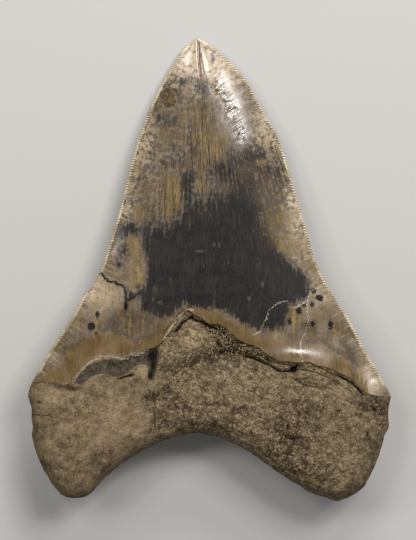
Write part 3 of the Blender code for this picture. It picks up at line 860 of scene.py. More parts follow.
ROOT_PALE_CLOUDS = [
    (-4.0, -20.8, 4.0, 4.0, 1.0), (-20.0, -30.5, 3.0, 1.5, 0.9), (-49.0, -38.5, 4.0, 2.5, 0.6),
    (40.0, -37.0, 6.0, 2.5, 0.7), (-12.0, -33.0, 3.0, 2.0, 0.6), (-30.0, -43.0, 8.0, 6.0, 0.4),
    (10.0, -33.0, 8.0, 4.0, 0.4), (-18.0, -49.5, 8.0, 2.0, 0.5),
]
ROOT_DARK_CLOUDS = [
    (24.0, -50.0, 6.0, 4.5, 0.9), (48.0, -40.5, 5.0, 3.0, 0.8), (28.0, -60.0, 9.0, 3.0, 0.7),
    (5.0, -27.5, 5.0, 3.0, 0.6), (30.0, -43.0, 5.0, 4.0, 0.5), (-2.0, -47.5, 12.0, 2.5, 0.5),
    (43.0, -52.0, 5.0, 5.0, 0.4), (-8.0, -42.0, 5.0, 3.0, 0.4),
]
FAR = 12.0
MAIN_CREVICE_DEPTH = 0.85
print(f"{len(GOLD_CLOUDS)} gold patches, {len(WHITE_CRACKS)} white cracks")

# %% How deep each vertex of the outer face lies in each stain


def charcoal_amount(x, y):
    """How charcoal the enamel is: 0.5 on the field's outline, and more with depth, quickly low
    down and slowly near the tip. The dark clouds are added outside, and the gold taken away."""
    blur = 3.0 + 11.0 * smooth_step(y, 2.0, 18.0)
    field = np.clip(0.5 + area_depth(x, y, CHARCOAL) / blur, 0.0, 1.3)
    dark = field + np.clip(1.0 - field, 0.0, 1.0) * clouds(x, y, DARK_CLOUDS)
    ground = 0.4 * smooth_step(y, 4.0, 16.0) * (1.0 - 0.6 * clouds(x, y, PALE_CLOUDS))
    ground = ground * (1.0 - smooth_step(y, 54.0, 60.0))
    return np.maximum(dark, ground) - 0.75 * clouds(x, y, GOLD_CLOUDS)


def root_tone(x, y):
    """From -1, dark, to 1, pale: the pale clouds less the dark ones and the dark band."""
    band = np.exp(-(line_distance(x, y, ROOT_DARK_BAND) / 2.2) ** 2)
    dark = 1.0 - (1.0 - 0.8 * band) * (1.0 - clouds(x, y, ROOT_DARK_CLOUDS))
    return 1.3 * clouds(x, y, ROOT_PALE_CLOUDS) - 1.2 * dark


def line_marks(x, y):
    """For each set of thin marks, the signed distance to it and the same without its sign."""
    sets = {
        "white_crack": WHITE_CRACKS, "black_border": BORDER_LINES, "grey_line": GREY_LINES,
        # The tip's groove gets a dark line of painted shade, and the chip's pale line is partly a
        # painted highlight.
        "growth_line": GROWTH_LINES, "chip": [CHIP_LINE], "silt": [TIP_GROOVE],
        # The crevice and crack lines are dark lines of painted shade.
        "crevice": [line for line, depth, wide in CREVICES if depth > MAIN_CREVICE_DEPTH],
        "crack": [line for line, depth, wide in CREVICES if depth <= MAIN_CREVICE_DEPTH],
    }
    marks = {}
    for name, lines in sets.items():
        marks[name], marks[name + "_near"] = nearest_line(x, y, lines)
    return marks


def outer_stains(x, y, in_root, gap):
    """Every value that the material reads on the outer face."""
    below = enamel_line(x) - y
    off_left = smooth_step(-x, 41.0, 43.0) + smooth_step(x, -19.0, -16.5)
    slate = np.maximum(area_depth(x, y, SLATE_BAND), spots_depth(x, y, [SLATE_SPOT]))
    ledge, ledge_phase = ledges(x, y, below)
    return {
        **line_marks(x, y),
        "charcoal": charcoal_amount(x, y),
        "gold": clouds(x, y, GOLD_CLOUDS),
        "ochre": np.maximum.reduce([area_depth(x, y, band) for band in OCHRE_BANDS]),
        "pale": clouds(x, y, PALE_CLOUDS),
        "umber": clouds(x, y, UMBER_CLOUDS),
        "mottle": 0.25 + 0.75 * smooth_step(y, -10.0, 6.0) - 0.5 * smooth_step(y, 56.0, 63.0),
        "spots": spots_depth(x, y, BLACK_SPOTS),
        "round_stain": spots_depth(x, y, ROUND_STAINS),
        "streaks": clouds(x, y, STREAKED),
        "ripple": np.exp(-(line_distance(x, y, RIPPLED_LINE) / 2.8) ** 2),
        "polish": clouds(x, y, POLISHED),
        "ledge": ledge,
        "ledge_phase": ledge_phase,
        "crust": area_depth(x, y, CRUST),
        "slate": np.where(in_root, slate, -FAR),
        "frayed": 1.0 - np.abs(below) - 4.0 * off_left,
        "tone": root_tone(x, y),
        "grain": grain_strength(x, y),
        # painted shade and some dirt in the pits: each is darker the deeper it is
        "dirt": clouds(x, y, [(*pit[:4], min(1.0, 1.4 * pit[4])) for pit in PITS]),
        "enamel": np.where(in_root, -FAR, FAR),
    }


# %% [markdown]
# On the inner face the stains are plainer: one wide charcoal field, an ochre border, and the
# dark collar of bare dentine below the enamel's V. It isn't in view, so its colours are a
# guess that follows the outer face.

# %% How deep each vertex of the inner face lies in each stain


def inner_stains(x, y, in_root, gap):
    """The same values as on the outer face, from a few simple shapes."""
    below = inner_line(x) - y
    collar = (COLLAR_HEIGHT - 0.12 * np.abs(x)) / 2.0
    holes = [(at_x, at_y, wide, wide, 1.0) for at_x, at_y, wide, deep in NUTRIENT_HOLES]
    far, none = np.full(x.shape, -FAR), np.zeros(x.shape)
    marks = {name: -far for name in line_marks(x[:1], y[:1])}
    return {
        **marks,
        "charcoal": 1.1 - np.hypot(x * 1.15, (y - 18.0) * 0.75) / 34.0,
        "gold": 0.4 * smooth_step(-below, 2.0, 20.0),
        "ochre": 3.0 - np.abs(below + 3.0),
        "pale": smooth_step(-gap, -9.0, -2.0),
        "umber": none,
        "mottle": none + 0.7,
        "spots": far,
        "round_stain": far,
        "streaks": smooth_step(-below, 4.0, 20.0),
        "ripple": none,
        "polish": none + 0.3,
        "ledge": none,
        "ledge_phase": none,
        "crust": far,
        "slate": collar - np.abs(below - collar),
        "frayed": far,
        "tone": 0.4 * rough(x, y, 14.0, 2, 91),
        "grain": 0.8 + none,
        # painted shade in the nutrient holes
        "dirt": clouds(x, y, holes),
        "enamel": -below,
    }


# %% [markdown]
# ## Laying it down
#
# The sheets are drawn in the plane of the cutting edges, but the tooth rests on its swelling and
# near its tip, so it is tipped by about ten degrees. The solid tooth's own tip gives the place:
# it is the vertex that lies furthest along +Y. Whatever would reach below the ground is worn
# flat, by a third of a millimetre at most.

# %% From the tooth's plane to where it lies
TIP_REST = (-2.8, 61.0)
ROOT_REST = (16.0, -31.0)
tip_depth = -float(through(INNER_DEPTH, TIP_REST[1]))
root_depth = -float(ROOT_DEPTH + swelling(*ROOT_REST))
TILT = math.atan2(tip_depth - root_depth, TIP_REST[1] - ROOT_REST[1])
TURN = np.array([
    [1.0, 0.0, 0.0],
    [0.0, math.cos(TILT), math.sin(TILT)],
    [0.0, -math.sin(TILT), math.cos(TILT)],
])
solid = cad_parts["tooth"]
corners = np.empty(len(solid.data.vertices) * 3)
solid.data.vertices.foreach_get("co", corners)
corners = corners.reshape(-1, 3) / MM
SHIFT = corners[np.argmax(corners[:, 1])] - TURN @ np.array([*TIP, 0.0])
print(f"tilt {math.degrees(TILT):.2f} degrees, shift {SHIFT.round(2)} mm")


def laid_down(places):
    """Places in the tooth's plane, turned by the tilt about X and shifted, in millimetres."""
    return places @ TURN.T + SHIFT


# %% One sheet with its heights and stains
ON_RIM = 1e-9
BEVEL_NICK_DEPTH = 0.2
BEVEL_NICK_REACH = 1.7


def on_rim(across, down, in_root):
    """Whether each vertex is on the outline: at either end of a row, or at the sheet's top or
    bottom."""
    ends = (across < ON_RIM) | (across > 1.0 - ON_RIM)
    return ends | (in_root & (down > 1.0 - ON_RIM)) | (~in_root & (down < ON_RIM))


def finished_sheet(face, height_of, stains_of, rim):
    """A sheet's places, the values and coordinates that its material reads, and its faces. The
    nicks of the saw teeth also run up the bevel, shallower the further from the edge."""
    blocks, faces = sheet(face)
    place = np.concatenate([block[0].reshape(-1, 2) for block in blocks])
    across, down, part = (
        np.concatenate([np.broadcast_to(block[i], block[1].shape).ravel() for block in blocks])
        for i in (1, 2, 3)
    )
    in_root, rim_vertex = part == 2, on_rim(across, down, part == 2)
    x, y = place.T
    off, foot = follow(x, y, rim)
    gap = np.where(rim_vertex, 0.0, np.abs(off))
    height = height_of(x, y, across, down, in_root, gap)
    sawn = np.where(part == -1, nick(down, -1), np.where(part == 1, nick(down, 1), 0.0))
    notch = BEVEL_NICK_DEPTH * sawn * np.clip(1.0 - gap / BEVEL_NICK_REACH, 0.0, 1.0)
    height -= np.sign(height) * np.minimum(notch, 0.6 * np.abs(height))
    height[rim_vertex] = rim_height(x, y)[rim_vertex]
    toothed = np.where(x < 0.0, serrated(down, -1), serrated(down, 1))
    stain = {
        **stains_of(x, y, in_root, gap), "gap": np.where(in_root, FAR, gap), "saw_tooth": sawn,
        "serrated": np.where(in_root, 0.0, toothed),
    }
    flow = np.column_stack([flow_x(x, y, across, in_root), y, down * GROWTH_RUN])
    edge = np.column_stack([foot, gap, np.sign(x)])
    return np.column_stack([x, y, height]), stain, flow, edge, faces


def flow_x(x, y, across, in_root):
    """How far across the growth lines a place is. In the crown they fan out from the tip, so x
    is stretched towards it, and in the root they follow the columns."""
    fan = 1.0 + 0.7 * smooth_step(y, 5.0, 65.0)
    return np.where(in_root, across * ROOT_WIDTH, (x - TIP[0]) * fan)


# %% Both sheets in one mesh
WELD = 2e-7


def keep_values(mesh, stains, places):
    """Writes each vertex's stain values, and its places on the sheet, as attributes."""
    for name in stains[0]:
        values = np.concatenate([stain[name] for stain in stains])
        layer = mesh.attributes.new(name, "FLOAT", "POINT")
        layer.data.foreach_set("value", np.clip(values, -FAR, FAR).astype(np.float32))
    for name, rows in places.items():
        layer = mesh.attributes.new(name, "FLOAT_VECTOR", "POINT")
        layer.data.foreach_set("vector", np.concatenate(rows).astype(np.float32).ravel())


def build_tooth():
    """Both sheets in one mesh, laid down, with the vertices along the rim merged."""
    rim = rim_line()
    places, stains, flows, edges, faces = zip(
        finished_sheet("outer", outer_height, outer_stains, rim),
        finished_sheet("inner", inner_height, inner_stains, rim),
    )
    spots = laid_down(np.concatenate(places))
    spots[:, 2] = np.maximum(spots[:, 2], 0.0)
    numbered = [
        row for start, arrays in zip((0, len(places[0])), faces)
        for array in arrays for row in (array + start).tolist()
    ]
    mesh = bpy.data.meshes.new("tooth_surface")
    mesh.from_pydata(spots * MM, [], numbered)
    keep_values(mesh, stains, {"flow": flows, "edge": edges})
    bm = bmesh.new()
    bm.from_mesh(mesh)
    bmesh.ops.remove_doubles(bm, verts=bm.verts, dist=WELD)
    bmesh.ops.recalc_face_normals(bm, faces=bm.faces)
    bm.to_mesh(mesh)
    bm.free()
    mesh.shade_smooth()
    return mesh


tooth = bpy.data.objects.new("tooth_surface", build_tooth())
bpy.context.scene.collection.objects.link(tooth)
mesh = tooth.data
mesh.calc_loop_triangles()
print(f"tooth {len(mesh.vertices)} vertices, {len(mesh.loop_triangles)} triangles")

# %% [markdown]
# ## Finishes
#
# Enamel is the hardest part of a tooth. It is close-packed mineral, polished by the sea and
# smooth enough to throw sharp lights. Its index of refraction is about 1.62 when fresh, and a
# little less in a worn fossil. Dentine is porous and dull. One material holds both, because on
# the inner face their border wanders across the faces of the mesh. One small function adds a
# node with its settings and its links.

# %% Colour and node helpers


def linear(hex_colour):
    """An sRGB hex colour as linear red, green, blue and an alpha of 1."""
    parts = [int(hex_colour[i:i + 2], 16) / 255.0 for i in (1, 3, 5)]
    return (*[p / 12.92 if p <= 0.04045 else ((p + 0.055) / 1.055) ** 2.4 for p in parts], 1.0)


def add(tree, kind, inputs=None, **settings):
    """Adds a node with these settings. An input is a value, or a socket to link from."""
    made = tree.nodes.new(kind)
    for name, value in settings.items():
        setattr(made, name, value)
    for name, value in (inputs or {}).items():
        if isinstance(value, bpy.types.NodeSocket):
            tree.links.new(value, made.inputs[name])
        else:
            made.inputs[name].default_value = value
    return made


def kept(tree, name):
    """The value that each vertex keeps under this name."""
    return add(tree, "ShaderNodeAttribute", attribute_name=name).outputs["Fac"]


def pattern(tree, vector, size, detail, turn=0.0, seed=0.0):
    """Noise whose features are about size millimetres across. Three sizes give the length along
    each axis, after the axes are turned about Z by an angle in radians."""
    placed = add(
        tree, "ShaderNodeMapping",
        {"Vector": vector, "Location": (seed * 19.0, seed * 31.0, 0.0),
         "Rotation": (0.0, 0.0, turn), "Scale": size if isinstance(size, tuple) else (size,) * 3},
        vector_type="TEXTURE",
    )
    return add(
        tree, "ShaderNodeTexNoise",
        {"Vector": placed.outputs["Vector"], "Scale": 1.0, "Detail": detail, "Roughness": 0.6},
    ).outputs["Fac"]


def sums(tree, *parts):
    """The sum of values, each given as a pair of a socket and the number that it's times."""
    total = 0.0
    for value, factor in parts:
        total = add(
            tree, "ShaderNodeMath", {0: value, 1: factor, 2: total}, operation="MULTIPLY_ADD"
        ).outputs[0]
    return total


def inside(tree, depth, wobble, reach, soft):
    """1 inside a stain and 0 outside. The border is where its depth, plus twice the reach times
    the wobble's distance from a half, crosses zero, and soft is how wide it blurs."""
    pushed = sums(tree, (wobble, 2.0 * reach), (depth, 1.0))
    return add(
        tree, "ShaderNodeMapRange",
        {"Value": pushed, "From Min": reach - soft, "From Max": reach + soft},
        interpolation_type="SMOOTHSTEP",
    ).outputs["Result"]


def line_mark(tree, name, wide, wobble, reach):
    """1 on a thin line and 0 off it: where the signed distance, pushed aside by the wobble, is
    under half the width. The other distance shuts out places past the line's ends."""
    pushed = sums(tree, (wobble, 2.0 * reach), (kept(tree, name), 1.0), (-reach, 1.0))
    off = add(tree, "ShaderNodeMath", {0: pushed}, operation="ABSOLUTE").outputs[0]
    near = levels(tree, kept(tree, name + "_near"), wide / 2.0 + 0.9, wide / 2.0 + 0.5)
    return times(tree, levels(tree, off, wide * 0.65, wide * 0.35), near)


def over(tree, under, above, amount):
    """Lays one colour over another by an amount from 0 to 1."""
    mix = add(tree, "ShaderNodeMix", {0: amount}, data_type="RGBA")
    for socket, colour in ((6, under), (7, above)):
        if isinstance(colour, str):
            mix.inputs[socket].default_value = linear(colour)
        else:
            tree.links.new(colour, mix.inputs[socket])
    return mix.outputs[2]


def coats(tree, colour, *layers):
    """Lays coats over a colour one after the other, each a pair of its colour and its amount."""
    for above, amount in layers:
        colour = over(tree, colour, above, amount)
    return colour


def levels(tree, value, low, high):
    """A value stretched so that low becomes 0 and high becomes 1, and kept between them."""
    return add(
        tree, "ShaderNodeMapRange", {"Value": value, "From Min": low, "From Max": high}
    ).outputs["Result"]


def times(tree, *values):
    """The product of values."""
    total = 1.0
    for value in values:
        total = add(tree, "ShaderNodeMath", {0: value, 1: total}, operation="MULTIPLY").outputs[0]
    return total


# %% [markdown]
# ## Stained enamel
#
# Under the shine the enamel is a drab to tan ground, mottled grey in spots about a millimetre
# across, with fine lines that fan down from the tip and short wrinkles that run in from the
# cutting edges, whose dark and pale stripes are partly painted light and shade. Over it lie gold
# patches, the charcoal field that breaks up into streaks, and the ochre band above the root.
# Layers of noise, each held by its own stain depth, keep every border sharp. A blend of two
# colours per stain would be smoother than any real one.

# %% The noises that the enamel's layers share


def enamel_noises(tree, place, flow, edge):
    """Spots, blotches, streaks and hairlines down the flow, and wrinkles across the margin."""
    wide = 1000.0
    return {
        "crumb": pattern(tree, place, 0.55, 3.0, seed=8.3),
        "spot": pattern(tree, place, 1.2, 5.0),
        "blotch": pattern(tree, place, 4.8, 4.0, seed=3.1),
        "streak": pattern(tree, flow, (0.95, 13.0, wide), 3.0, seed=7.7),
        "long": pattern(tree, flow, (1.5, 26.0, wide), 1.0, seed=9.4),
        "hair": pattern(tree, flow, (0.42, 7.0, wide), 3.0, seed=1.3),
        "wrinkle": pattern(tree, edge, (0.8, 7.0, wide), 3.0, seed=2.2),
    }


# %% The enamel's ground colour


def enamel_ground(tree, noises):
    """Drab to tan by the pale clouds, with grey and bright spots, darker grey-tan parts, fine
    lines down the growth, and dark and pale wrinkles at the margin, partly painted light and shade."""
    spot, blotch, hair = (noises[name] for name in ("spot", "blotch", "hair"))
    pale, mottle, wrinkle = kept(tree, "pale"), kept(tree, "mottle"), noises["wrinkle"]
    lift = levels(tree, sums(tree, (pale, 1.0), (blotch, 1.1)), 0.45, 1.5)
    grey = levels(tree, sums(tree, (spot, 1.0), (blotch, 0.35), (pale, -0.06)), 0.65, 0.76)
    margin = levels(tree, kept(tree, "gap"), 7.0, 2.0)
    return coats(
        tree, over(tree, "#675a48", "#cab89b", lift),
        ("#544d46", times(tree, grey, 0.8, mottle)),
        ("#41362a", times(tree, kept(tree, "umber"), 0.9)),
        ("#c6b792", times(tree, levels(tree, spot, 0.42, 0.3), pale, mottle, 0.7)),
        ("#4c4334", times(tree, levels(tree, hair, 0.56, 0.68), 0.4)),
        # partly painted light and shade: dark and pale stripes on the margin's wrinkles
        ("#594c36", times(tree, levels(tree, wrinkle, 0.5, 0.62), margin, 0.45)),
        ("#c4b795", times(tree, levels(tree, wrinkle, 0.46, 0.36), margin, 0.3)),
    )


# %% Gold, charcoal and ochre stains
LINE_SHARE = 0.02


def gold_and_charcoal(tree, under, noises):
    """Gold patches, then slate grey spots that thicken towards the charcoal, dark lines down
    the growth, and the charcoal field that frays into them."""
    spot, blotch, streak, hair = (noises[name] for name in ("spot", "blotch", "streak", "hair"))
    density, gilded, streaked = (kept(tree, name) for name in ("charcoal", "gold", "streaks"))
    grained = sums(tree, (streak, 0.5), (spot, 0.5))
    gold = over(tree, "#574a31", "#917c50", levels(tree, grained, 0.42, 0.58))
    gilt = inside(tree, sums(tree, (gilded, 1.0), (1.0, -0.32)), grained, 1.8, 0.45)
    speckled = sums(tree, (spot, 0.6), (blotch, 0.4))
    spots = inside(tree, sums(tree, (density, 1.0), (1.0, -0.42)), speckled, 2.0, 0.35)
    on_line = add(
        tree, "ShaderNodeMath", {0: noises["long"], 1: 0.5, 2: LINE_SHARE}, operation="COMPARE"
    ).outputs[0]
    broken = times(tree, levels(tree, spot, 0.36, 0.5), streaked)
    colour = coats(
        tree, under,
        (gold, times(tree, gilt, 0.9)),
        ("#454139", times(tree, spots, 0.7)),
        ("#2d2923", times(tree, levels(tree, hair, 0.46, 0.4), streaked, 0.6)),
        ("#29251f", times(tree, on_line, broken, 0.85)),
    )
    browned = sums(tree, (streak, 0.4), (hair, 0.3), (spot, 0.3))
    browned = levels(tree, sums(tree, (browned, 1.0), (gilded, 0.16)), 0.53, 0.63)
    black = coats(
        tree, over(tree, "#0a0a0a", "#302d2b", levels(tree, blotch, 0.58, 0.38)),
        ("#45413a", times(tree, levels(tree, hair, 0.54, 0.7), 0.5)),
        ("#5b5140", times(tree, levels(tree, noises["crumb"], 0.62, 0.74), 0.45)),
        ("#645339", times(tree, browned, levels(tree, gilded, 0.15, 0.6), 0.65)),
    )
    mixed = sums(tree, (spot, 0.25), (streak, 0.45), (hair, 0.3))
    field = inside(tree, sums(tree, (density, 1.0), (1.0, -0.62)), mixed, 2.8, 0.2)
    return over(tree, colour, black, times(tree, field, levels(tree, density, 0.05, 0.75)))


def ochre_bands(tree, under, noises, side):
    """The ochre above the root: browner on the left, and more golden on the right."""
    spot, blotch, streak, hair = (noises[name] for name in ("spot", "blotch", "streak", "hair"))
    drawn = levels(tree, sums(tree, (blotch, 0.45), (streak, 0.4), (hair, 0.15)), 0.4, 0.58)
    left = over(tree, "#56452a", "#6f5a36", drawn)
    right = over(tree, "#5a492d", "#776340", drawn)
    ochre = coats(
        tree, over(tree, left, right, side),
        ("#54452c", times(tree, levels(tree, spot, 0.57, 0.7), 0.4)),
        ("#a48f64", times(tree, levels(tree, hair, 0.42, 0.32), 0.3)),
    )
    mixed = sums(tree, (streak, 0.75), (hair, 0.25))
    return over(tree, under, ochre, inside(tree, kept(tree, "ochre"), mixed, 4.5, 0.5))


# %% Spots, cracks and saw teeth


def enamel_marks(tree, under, noises, edge):
    """The round brown stain, the small dark spots, the thin lines, and the worn cream crests of
    the saw teeth. The dark line along the tip's groove is painted shade, the chip's pale line is
    partly the broken enamel's edge and partly a painted highlight, and the nicks between the saw
    teeth are darkened partly as painted shade."""
    spot, blotch = noises["spot"], noises["blotch"]
    browned = inside(tree, kept(tree, "round_stain"), spot, 1.4, 0.35)
    brown = over(tree, "#67542f", "#3a2c16", levels(tree, spot, 0.42, 0.54))
    colour = over(tree, under, brown, times(tree, browned, 0.9))
    uneven = sums(tree, (spot, 0.5), (noises["crumb"], 0.5))
    colour = over(tree, colour, "#121111", inside(tree, kept(tree, "spots"), uneven, 1.3, 0.15))
    worn = sums(tree, (uneven, 1.0), (blotch, 0.4))
    for name, wide, tint, amount, wobble, reach, gaps in (
        ("black_border", 0.8, "#191817", 0.95, uneven, 1.5, 0.42),
        ("grey_line", 1.5, "#413b33", 0.65, spot, 1.2, 0.6),
        ("growth_line", 0.3, "#26231e", 0.85, spot, 0.4, 0.6),
        # painted shade: a dark line along the tip's groove
        ("silt", 0.8, "#5a4828", 0.85, spot, 0.5, 0.5),
        ("white_crack", 0.24, "#b5ab94", 0.95, uneven, 1.6, 0.6),
        # partly a painted highlight: the chip's pale line along the broken enamel's edge
        ("chip", 0.9, "#b5aa90", 0.9, uneven, 1.2, 0.6),
    ):
        flaky = levels(tree, worn, gaps, gaps + 0.14)
        drawn = times(tree, line_mark(tree, name, wide, wobble, reach), amount, flaky)
        colour = over(tree, colour, tint, drawn)
    frayed = inside(tree, sums(tree, (kept(tree, "frayed"), 1.0), (1.0, -0.9)), spot, 3.0, 0.4)
    colour = over(tree, colour, "#8a7e64", times(tree, frayed, 0.6))
    edge_wear = pattern(tree, edge, (6.0, 30.0, 30.0), 3.0, seed=4.4)
    crest = over(tree, "#a49878", "#ddd3b8", levels(tree, edge_wear, 0.36, 0.56))
    # partly painted shade: the nicks between the saw teeth are darker the deeper they are
    sawn = over(tree, crest, "#5f523c", levels(tree, kept(tree, "saw_tooth"), 0.35, 0.7))
    band = levels(tree, sums(tree, (kept(tree, "gap"), 1.0), (spot, 1.1)), 1.6, 1.15)
    return over(tree, colour, sawn, times(tree, band, kept(tree, "serrated")))


# %% [markdown]
# ## Dry dentine
#
# The root's dentine is brown-grey and dull. It is made of grains about a millimetre across, with
# dark gaps between them. Its pits and holes are darkened with painted shade and some dirt, its
# cracks and crevices with painted shade, and the foot of each thin ledge gets a line of painted
# shade. On the left a smooth slate band lies bare beside the enamel, and under the peak a dark
# crust clings to the broken edge. Cells give the grains their clear borders, and noise alone
# would look like cloud.

# %% The noises that the dentine's layers share


def grains(tree, place, size):
    """For cells about size millimetres across: each one's own random value, and the distance
    to its middle."""
    bent = add(
        tree, "ShaderNodeVectorMath",
        {0: add(
            tree, "ShaderNodeTexNoise", {"Vector": place, "Scale": 0.9 / size}
        ).outputs["Color"], 1: (0.9 * size,) * 3, 2: place},
        operation="MULTIPLY_ADD",
    ).outputs[0]
    cells = add(tree, "ShaderNodeTexVoronoi", {"Vector": bent, "Scale": 1.0 / size})
    value = add(tree, "ShaderNodeSeparateXYZ", {0: cells.outputs["Color"]}).outputs[0]
    return value, cells.outputs["Distance"]


def dentine_noises(tree, place, flow):
    """Clouds, middling and fine noise, specks, fibres down the growth, and for the grains their
    random values and the distance to their middles."""
    value, off_centre = grains(tree, place, 0.6)
    return {
        "broad": pattern(tree, place, 6.0, 5.0, seed=5.0),
        "middling": pattern(tree, place, 1.9, 4.0, seed=7.0),
        "fine": pattern(tree, place, 0.55, 6.0, seed=2.0),
        "speck": pattern(tree, place, 0.4, 3.0, seed=9.0),
        "fibre": pattern(tree, flow, (6.0, 1000.0, 0.8), 5.0, seed=4.0),
        "grain": value,
        "off_centre": off_centre,
    }


# %% Dentine colour


def dentine_colour(tree, dry):
    """Brown-grey by the root's tone, with pale and dark grains, specks and fibres, painted shade at
    the foot of each ledge and along the cracks and crevices, and painted shade with some dirt in
    the pits and holes.
    """
    broad, middling, fine = dry["broad"], dry["middling"], dry["fine"]
    strength = kept(tree, "grain")
    tone = sums(tree, (kept(tree, "tone"), 0.32), (broad, 0.9), (middling, 0.8))
    grainy = sums(tree, (dry["grain"], 0.35), (fine, 1.2), (middling, 0.5))
    light = times(tree, levels(tree, grainy, 1.06, 1.28), strength)
    dark = times(tree, levels(tree, grainy, 0.98, 0.75), strength)
    rougher = levels(tree, strength, 0.6, 1.0)
    # The foot of each ledge's step is painted darker, as shade.
    step = add(tree, "ShaderNodeMath", {0: kept(tree, "ledge_phase")}, operation="FRACT").outputs[0]
    worn = levels(tree, fine, 0.3, 0.5)
    ledge_foot_shade = times(tree, levels(tree, step, 0.72, 0.98), kept(tree, "ledge"), worn)
    mixed = sums(tree, (middling, 0.5), (fine, 0.5))
    slate = over(tree, "#2b2823", "#5f5748", levels(tree, mixed, 0.4, 0.62))
    rim = inside(tree, sums(tree, (kept(tree, "frayed"), 1.0), (1.0, -0.25)), fine, 3.4, 0.35)
    crumbly = levels(tree, sums(tree, (fine, 0.8), (broad, 0.2)), 0.47, 0.6)
    crust = over(tree, "#1f1912", "#8a7b5c", crumbly)
    hollow_shade_mask = levels(tree, sums(tree, (kept(tree, "dirt"), 1.0), (fine, 0.8)), 0.65, 1.1)
    patchy = levels(tree, middling, 0.36, 0.5)
    crack_shade = times(tree, line_mark(tree, "crack", 0.4, fine, 0.6), patchy)
    return coats(
        tree, over(tree, "#3f3629", "#988669", levels(tree, tone, 0.52, 1.2)),
        ("#b09e7c", times(tree, light, 0.7)),
        ("#332b21", times(tree, dark, 0.7)),
        ("#453b2c", times(tree, levels(tree, dry["fibre"], 0.52, 0.62), rougher, 0.45)),
        ("#221c15", times(tree, levels(tree, dry["speck"], 0.57, 0.64), 0.75)),
        # painted shade: a dark line at the foot of each ledge's step
        ("#221c15", times(tree, ledge_foot_shade, 0.75)),
        (slate, inside(tree, kept(tree, "slate"), middling, 1.0, 0.25)),
        ("#a39880", times(tree, rim, levels(tree, middling, 0.3, 0.5), 0.85)),
        (crust, inside(tree, kept(tree, "crust"), middling, 2.0, 0.8)),
        # painted shade, with some dirt, in the pits and holes
        ("#1b1613", hollow_shade_mask),
        # painted shade: dark lines along the cracks and the crevices
        ("#1d1812", times(tree, crack_shade, 0.8)),
        ("#0f0d0b", line_mark(tree, "crevice", 0.6, fine, 0.7)),
    )


# %% [markdown]
# ## Relief and gloss
#
# The finest relief is too small for the mesh, so it only bends the light. Enamel has hairlines
# and wrinkles of less than a tenth of a millimetre, which fade where it is polished, and fine
# grooves in the ochre. Dentine has grains. The gloss follows the polish too: it comes and goes
# over the enamel in blotches, while the dentine stays dull. Real relief this fine would need
# millions of faces.

# %% Fine relief
WRINKLE_HEIGHT = 0.00007
GRAIN_HEIGHT = 0.0003
print(f"wrinkles {WRINKLE_HEIGHT / MM:.2f} mm, grains {GRAIN_HEIGHT / MM:.1f} mm")


def relief(tree, place, noises, dry, enamel):
    """Relief under a millimetre. The enamel has hairlines, wrinkles at the margin, and on the
    tip's shoulder ripples that climb to the right. The dentine has grains and specks."""
    climb = pattern(tree, place, (7.0, 0.9, 9.0), 3.0, turn=math.radians(35.0), seed=5.5)
    margin = levels(tree, kept(tree, "gap"), 9.0, 2.0)
    matt = levels(tree, kept(tree, "polish"), 0.9, 0.3)
    grooved = levels(tree, kept(tree, "ochre"), -1.0, 1.0)
    worn = sums(
        tree, (noises["hair"], 0.25), (noises["blotch"], 0.5),
        (times(tree, noises["wrinkle"], margin), 0.55),
    )
    polished = sums(
        tree, (times(tree, worn, matt), 1.0), (times(tree, noises["hair"], grooved), 0.6),
        (times(tree, climb, kept(tree, "ripple")), 2.2),
    )
    smooth = add(
        tree, "ShaderNodeBump", {"Height": polished, "Distance": WRINKLE_HEIGHT, "Strength": 1.0}
    ).outputs["Normal"]
    bare = add(tree, "ShaderNodeMath", {0: 1.0, 1: enamel}, operation="SUBTRACT").outputs[0]
    grainy = sums(tree, (dry["fine"], 1.0), (dry["off_centre"], -0.3), (dry["grain"], 0.15))
    return add(
        tree, "ShaderNodeBump",
        {"Height": times(tree, grainy, bare, kept(tree, "grain")), "Distance": GRAIN_HEIGHT,
         "Strength": 1.0, "Normal": smooth},
    ).outputs["Normal"]


# %% The material that holds both
WORN_ENAMEL_IOR = 1.55
DENTINE_ROUGHNESS = 0.92


